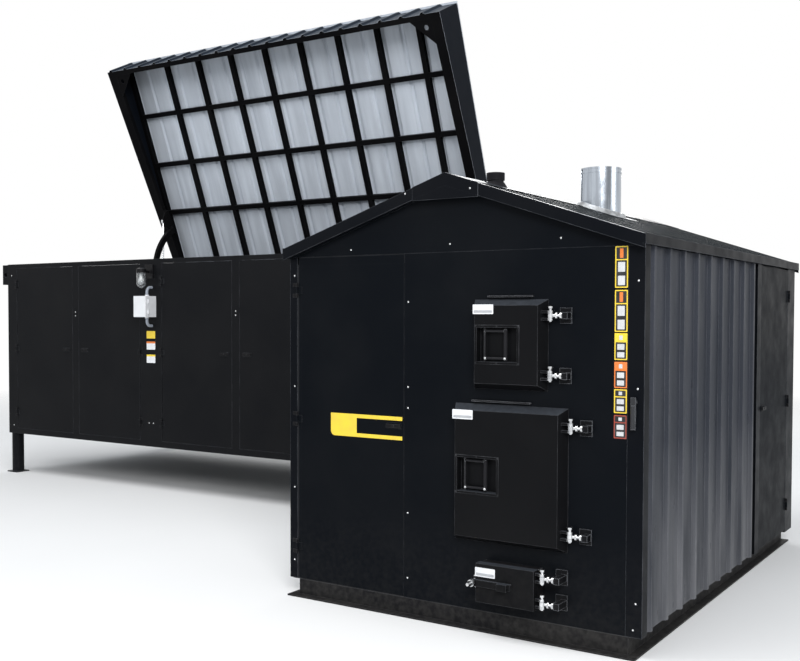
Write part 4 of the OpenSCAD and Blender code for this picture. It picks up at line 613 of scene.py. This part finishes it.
# Top, foot, frame, head and mark of each plate, from the top one down
STRIP = ((1.933, 1.738, YELLOW, DARK, ORANGE), (1.728, 1.531, YELLOW, DARK, ORANGE),
         (1.525, 1.399, YELLOW, YELLOW, PALE), (1.390, 1.267, ORANGE, ORANGE, PALE),
         (1.261, 1.148, YELLOW, DARK, PALE), (1.139, 1.028, RED, DARK, PALE))
STRIP_X, STRIP_WIDE, STRIP_EDGE = 0.904, 0.063, 0.0055
MARK_X, MARK_Z, BLOCK_X, BLOCK_Z = 0.023, 0.011, 0.014, 0.012  # insets of the marks and pale blocks
NECK = 0.66  # where the head of a plate starts, as a share of its height
BLOCK_TOP, BLOCK_FOOT, BLOCK_GAP = 0.44, 0.58, 0.008  # shares of the neck's height, and a gap
for k, (top, foot, paint, head, mark) in enumerate(STRIP):
    tall = top - foot
    neck = tall * NECK
    rect = (STRIP_X, foot, STRIP_X + STRIP_WIDE, top)
    plate(f"side_plate_{k + 1}", "house", rect, AHEAD, paint, [
        ((STRIP_EDGE, STRIP_EDGE, STRIP_WIDE - STRIP_EDGE, neck), DARK, 0),
        ((STRIP_EDGE, neck + STRIP_EDGE, STRIP_WIDE - STRIP_EDGE, tall - STRIP_EDGE), head, 0),
        ((MARK_X, neck + MARK_Z, STRIP_WIDE - MARK_X, tall - MARK_Z), mark, 1),
        ((BLOCK_X, BLOCK_Z, STRIP_WIDE - BLOCK_X, neck * BLOCK_TOP), PALE, 1),
        ((BLOCK_X, neck * BLOCK_FOOT, STRIP_WIDE - BLOCK_X, neck - BLOCK_GAP), PALE, 1)])

# Foot, top, film and band of each plate under the switch box
SWITCH_PLATES = ((1.394, 1.462, YELLOW, None), (1.292, 1.366, WHITE, ORANGE),
                 (1.170, 1.246, WHITE, YELLOW))
SWITCH_X, SWITCH_WIDE, SWITCH_BAND = -4.400, 0.110, 0.017
for k, (foot, top, paint, band) in enumerate(SWITCH_PLATES):
    tall = top - foot
    plate(f"switch_plate_{k + 1}", "house", (SWITCH_X, foot, SWITCH_X + SWITCH_WIDE, top),
          BIN_AHEAD, paint,
          [((0.0, tall - SWITCH_BAND, SWITCH_WIDE, tall), band, 0)] if band else [])

STRIPE_FOOT, STRIPE_TOP, STRIPE_BAR, STRIPE_THICK = 0.936, 1.062, 0.021, 0.0006
STRIPE_X = (-0.762, -0.585, -0.286)  # where its block starts, its two bars start and both end
STRIPE_PROBE = (-0.60, AHEAD, 0.92)  # the stripe lies on the sheet behind this point
START_RADII = (0.026, 0.001, 0.001, 0.003)  # the block's corners, from the low left one round
BAR_RADII = (0.001,) * 4


def stripe(bm):
    """A plain stripe across the access door: a block and two bars that run to its edge."""
    at = frame_at((0.0, seat(STRIPE_PROBE, BACK)[0].y, 0.0), FRONT)
    start, bars, end = STRIPE_X
    pieces = [((start, STRIPE_FOOT, bars, STRIPE_TOP), START_RADII)]
    for z0 in (STRIPE_FOOT, STRIPE_TOP - STRIPE_BAR):
        pieces.append(((bars, z0, end, z0 + STRIPE_BAR), BAR_RADII))
    for rect, radii in pieces:
        slab(bm, at, rect, radii, -PLATE_SUNK, STRIPE_THICK)


made("door_stripe", "access_door", YELLOW, stripe)


# ------------------------------------------------------------------ lamp bulb
# Radius, and height below the globe's top
BULB_PROFILE = ((0.0010, -0.104), (0.010, -0.101), (0.019, -0.092), (0.0245, -0.078),
                (0.0255, -0.066), (0.023, -0.052), (0.0165, -0.038), (0.013, -0.028),
                (0.013, -0.004))
BULB_SIDES = 24


def bulb(bm):
    low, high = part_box("lamp_globe")
    x, y = (low.x + high.x) / 2, (low.y + high.y) / 2
    turns = [math.tau * k / BULB_SIDES for k in range(BULB_SIDES)]
    loops(bm, [[(x + r * math.cos(a), y + r * math.sin(a), high.z + h) for a in turns]
               for r, h in BULB_PROFILE])


BULB_WHITE = plastic("bulb_white", rgb(0.90, 0.90, 0.88), 0.25)
made("lamp_bulb", "house", BULB_WHITE, bulb)


# ------------------------------------------------------------------ light, floor and camera
FLOOR_SIZE, FLOOR_PLACE = 90.0, (-2.5, 0.0, -0.001)
FADE_FROM, FADE_TO = 7.0, 16.0  # distances from the floor's middle

# Place, aim, size and watts of each lamp
LAMPS = {
    "key": ((5.5, -9.0, 6.5), (-1.5, 0.0, 1.2), (5.0, 4.0), 900.0),
    "side": ((9.0, 1.0, 4.0), (1.0, 0.5, 1.2), (4.0, 4.0), 150.0),
    "top": ((-3.0, -3.0, 9.0), (-3.0, 1.0, 1.5), (8.0, 5.0), 500.0),
    "back": ((-6.0, 11.0, 6.0), (-2.5, 1.5, 1.5), (6.0, 4.0), 500.0),
}


def stage_floor():
    """A pale floor that fades into the white round it."""
    bpy.ops.mesh.primitive_plane_add(size=FLOOR_SIZE, location=FLOOR_PLACE)
    floor = bpy.context.object
    floor.name = "studio_floor"
    s = Shader("studio_floor", Roughness=0.9, Specular_IOR_Level=0.1)
    s.set("Base Color", s.mix(s.noise(0.6), rgb(0.80, 0.80, 0.80), rgb(0.84, 0.84, 0.84)))
    out = s.tree.nodes["Material Output"]
    distance = s.node("VectorMath", operation="LENGTH")
    s.put(distance.inputs[0], s.coords.outputs["Object"])
    fade = s.band(distance.outputs["Value"], FADE_FROM, FADE_TO)
    path = s.node("LightPath")
    clear = s.node("BsdfTransparent")
    blend = s.node("MixShader", i0=s.math("MULTIPLY", fade, path.outputs["Is Camera Ray"]))
    s.put(blend.inputs[1], s.bsdf.outputs[0])
    s.put(blend.inputs[2], clear.outputs[0])
    s.put(out.inputs["Surface"], blend.outputs[0])
    floor.data.materials.append(s.mat)


def world():
    """White for the camera and for gloss, and a plain soft fill for the rest."""
    studio = bpy.data.worlds.new("studio")
    bpy.context.scene.world = studio
    studio.use_nodes = True
    tree = studio.node_tree
    fill = tree.nodes["Background"]
    fill.inputs["Color"].default_value = rgb(0.90, 0.95, 1.0)
    fill.inputs["Strength"].default_value = 0.55
    seen = tree.nodes.new("ShaderNodeBackground")
    seen.inputs["Color"].default_value = rgb(1, 1, 1)
    seen.inputs["Strength"].default_value = 1.0
    path = tree.nodes.new("ShaderNodeLightPath")
    blend = tree.nodes.new("ShaderNodeMixShader")
    seen_by = path.outputs["Is Camera Ray"]
    for ray in ("Is Glossy Ray", "Is Transmission Ray"):
        most = tree.nodes.new("ShaderNodeMath")
        most.operation = "MAXIMUM"
        tree.links.new(seen_by, most.inputs[0])
        tree.links.new(path.outputs[ray], most.inputs[1])
        seen_by = most.outputs[0]
    tree.links.new(seen_by, blend.inputs[0])
    tree.links.new(fill.outputs[0], blend.inputs[1])
    tree.links.new(seen.outputs[0], blend.inputs[2])
    tree.links.new(blend.outputs[0], tree.nodes["World Output"].inputs[0])


def lamp(name, place, aim, size, watts):
    """An area lamp at place that shines at aim."""
    data = bpy.data.lights.new(name, "AREA")
    data.shape = "RECTANGLE"
    data.size, data.size_y = size
    data.energy = watts
    obj = bpy.data.objects.new(name, data)
    obj.location = place
    obj.rotation_euler = (Vector(aim) - Vector(place)).to_track_quat("-Z", "Y").to_euler()
    bpy.context.scene.collection.objects.link(obj)


def camera():
    data = bpy.data.cameras.new("photographer")
    data.lens, data.sensor_width = LENS, SENSOR
    data.shift_x, data.shift_y = SHIFT
    data.clip_end = 200.0
    obj = bpy.data.objects.new("photographer", data)
    obj.location = EYE
    obj.rotation_euler = [math.radians(a) for a in (90 - PITCH, ROLL, YAW)]
    bpy.context.scene.collection.objects.link(obj)
    bpy.context.scene.camera = obj


stage_floor()
world()
for name, settings in LAMPS.items():
    lamp(name, *settings)
camera()
bpy.context.scene.view_settings.view_transform = "Standard"
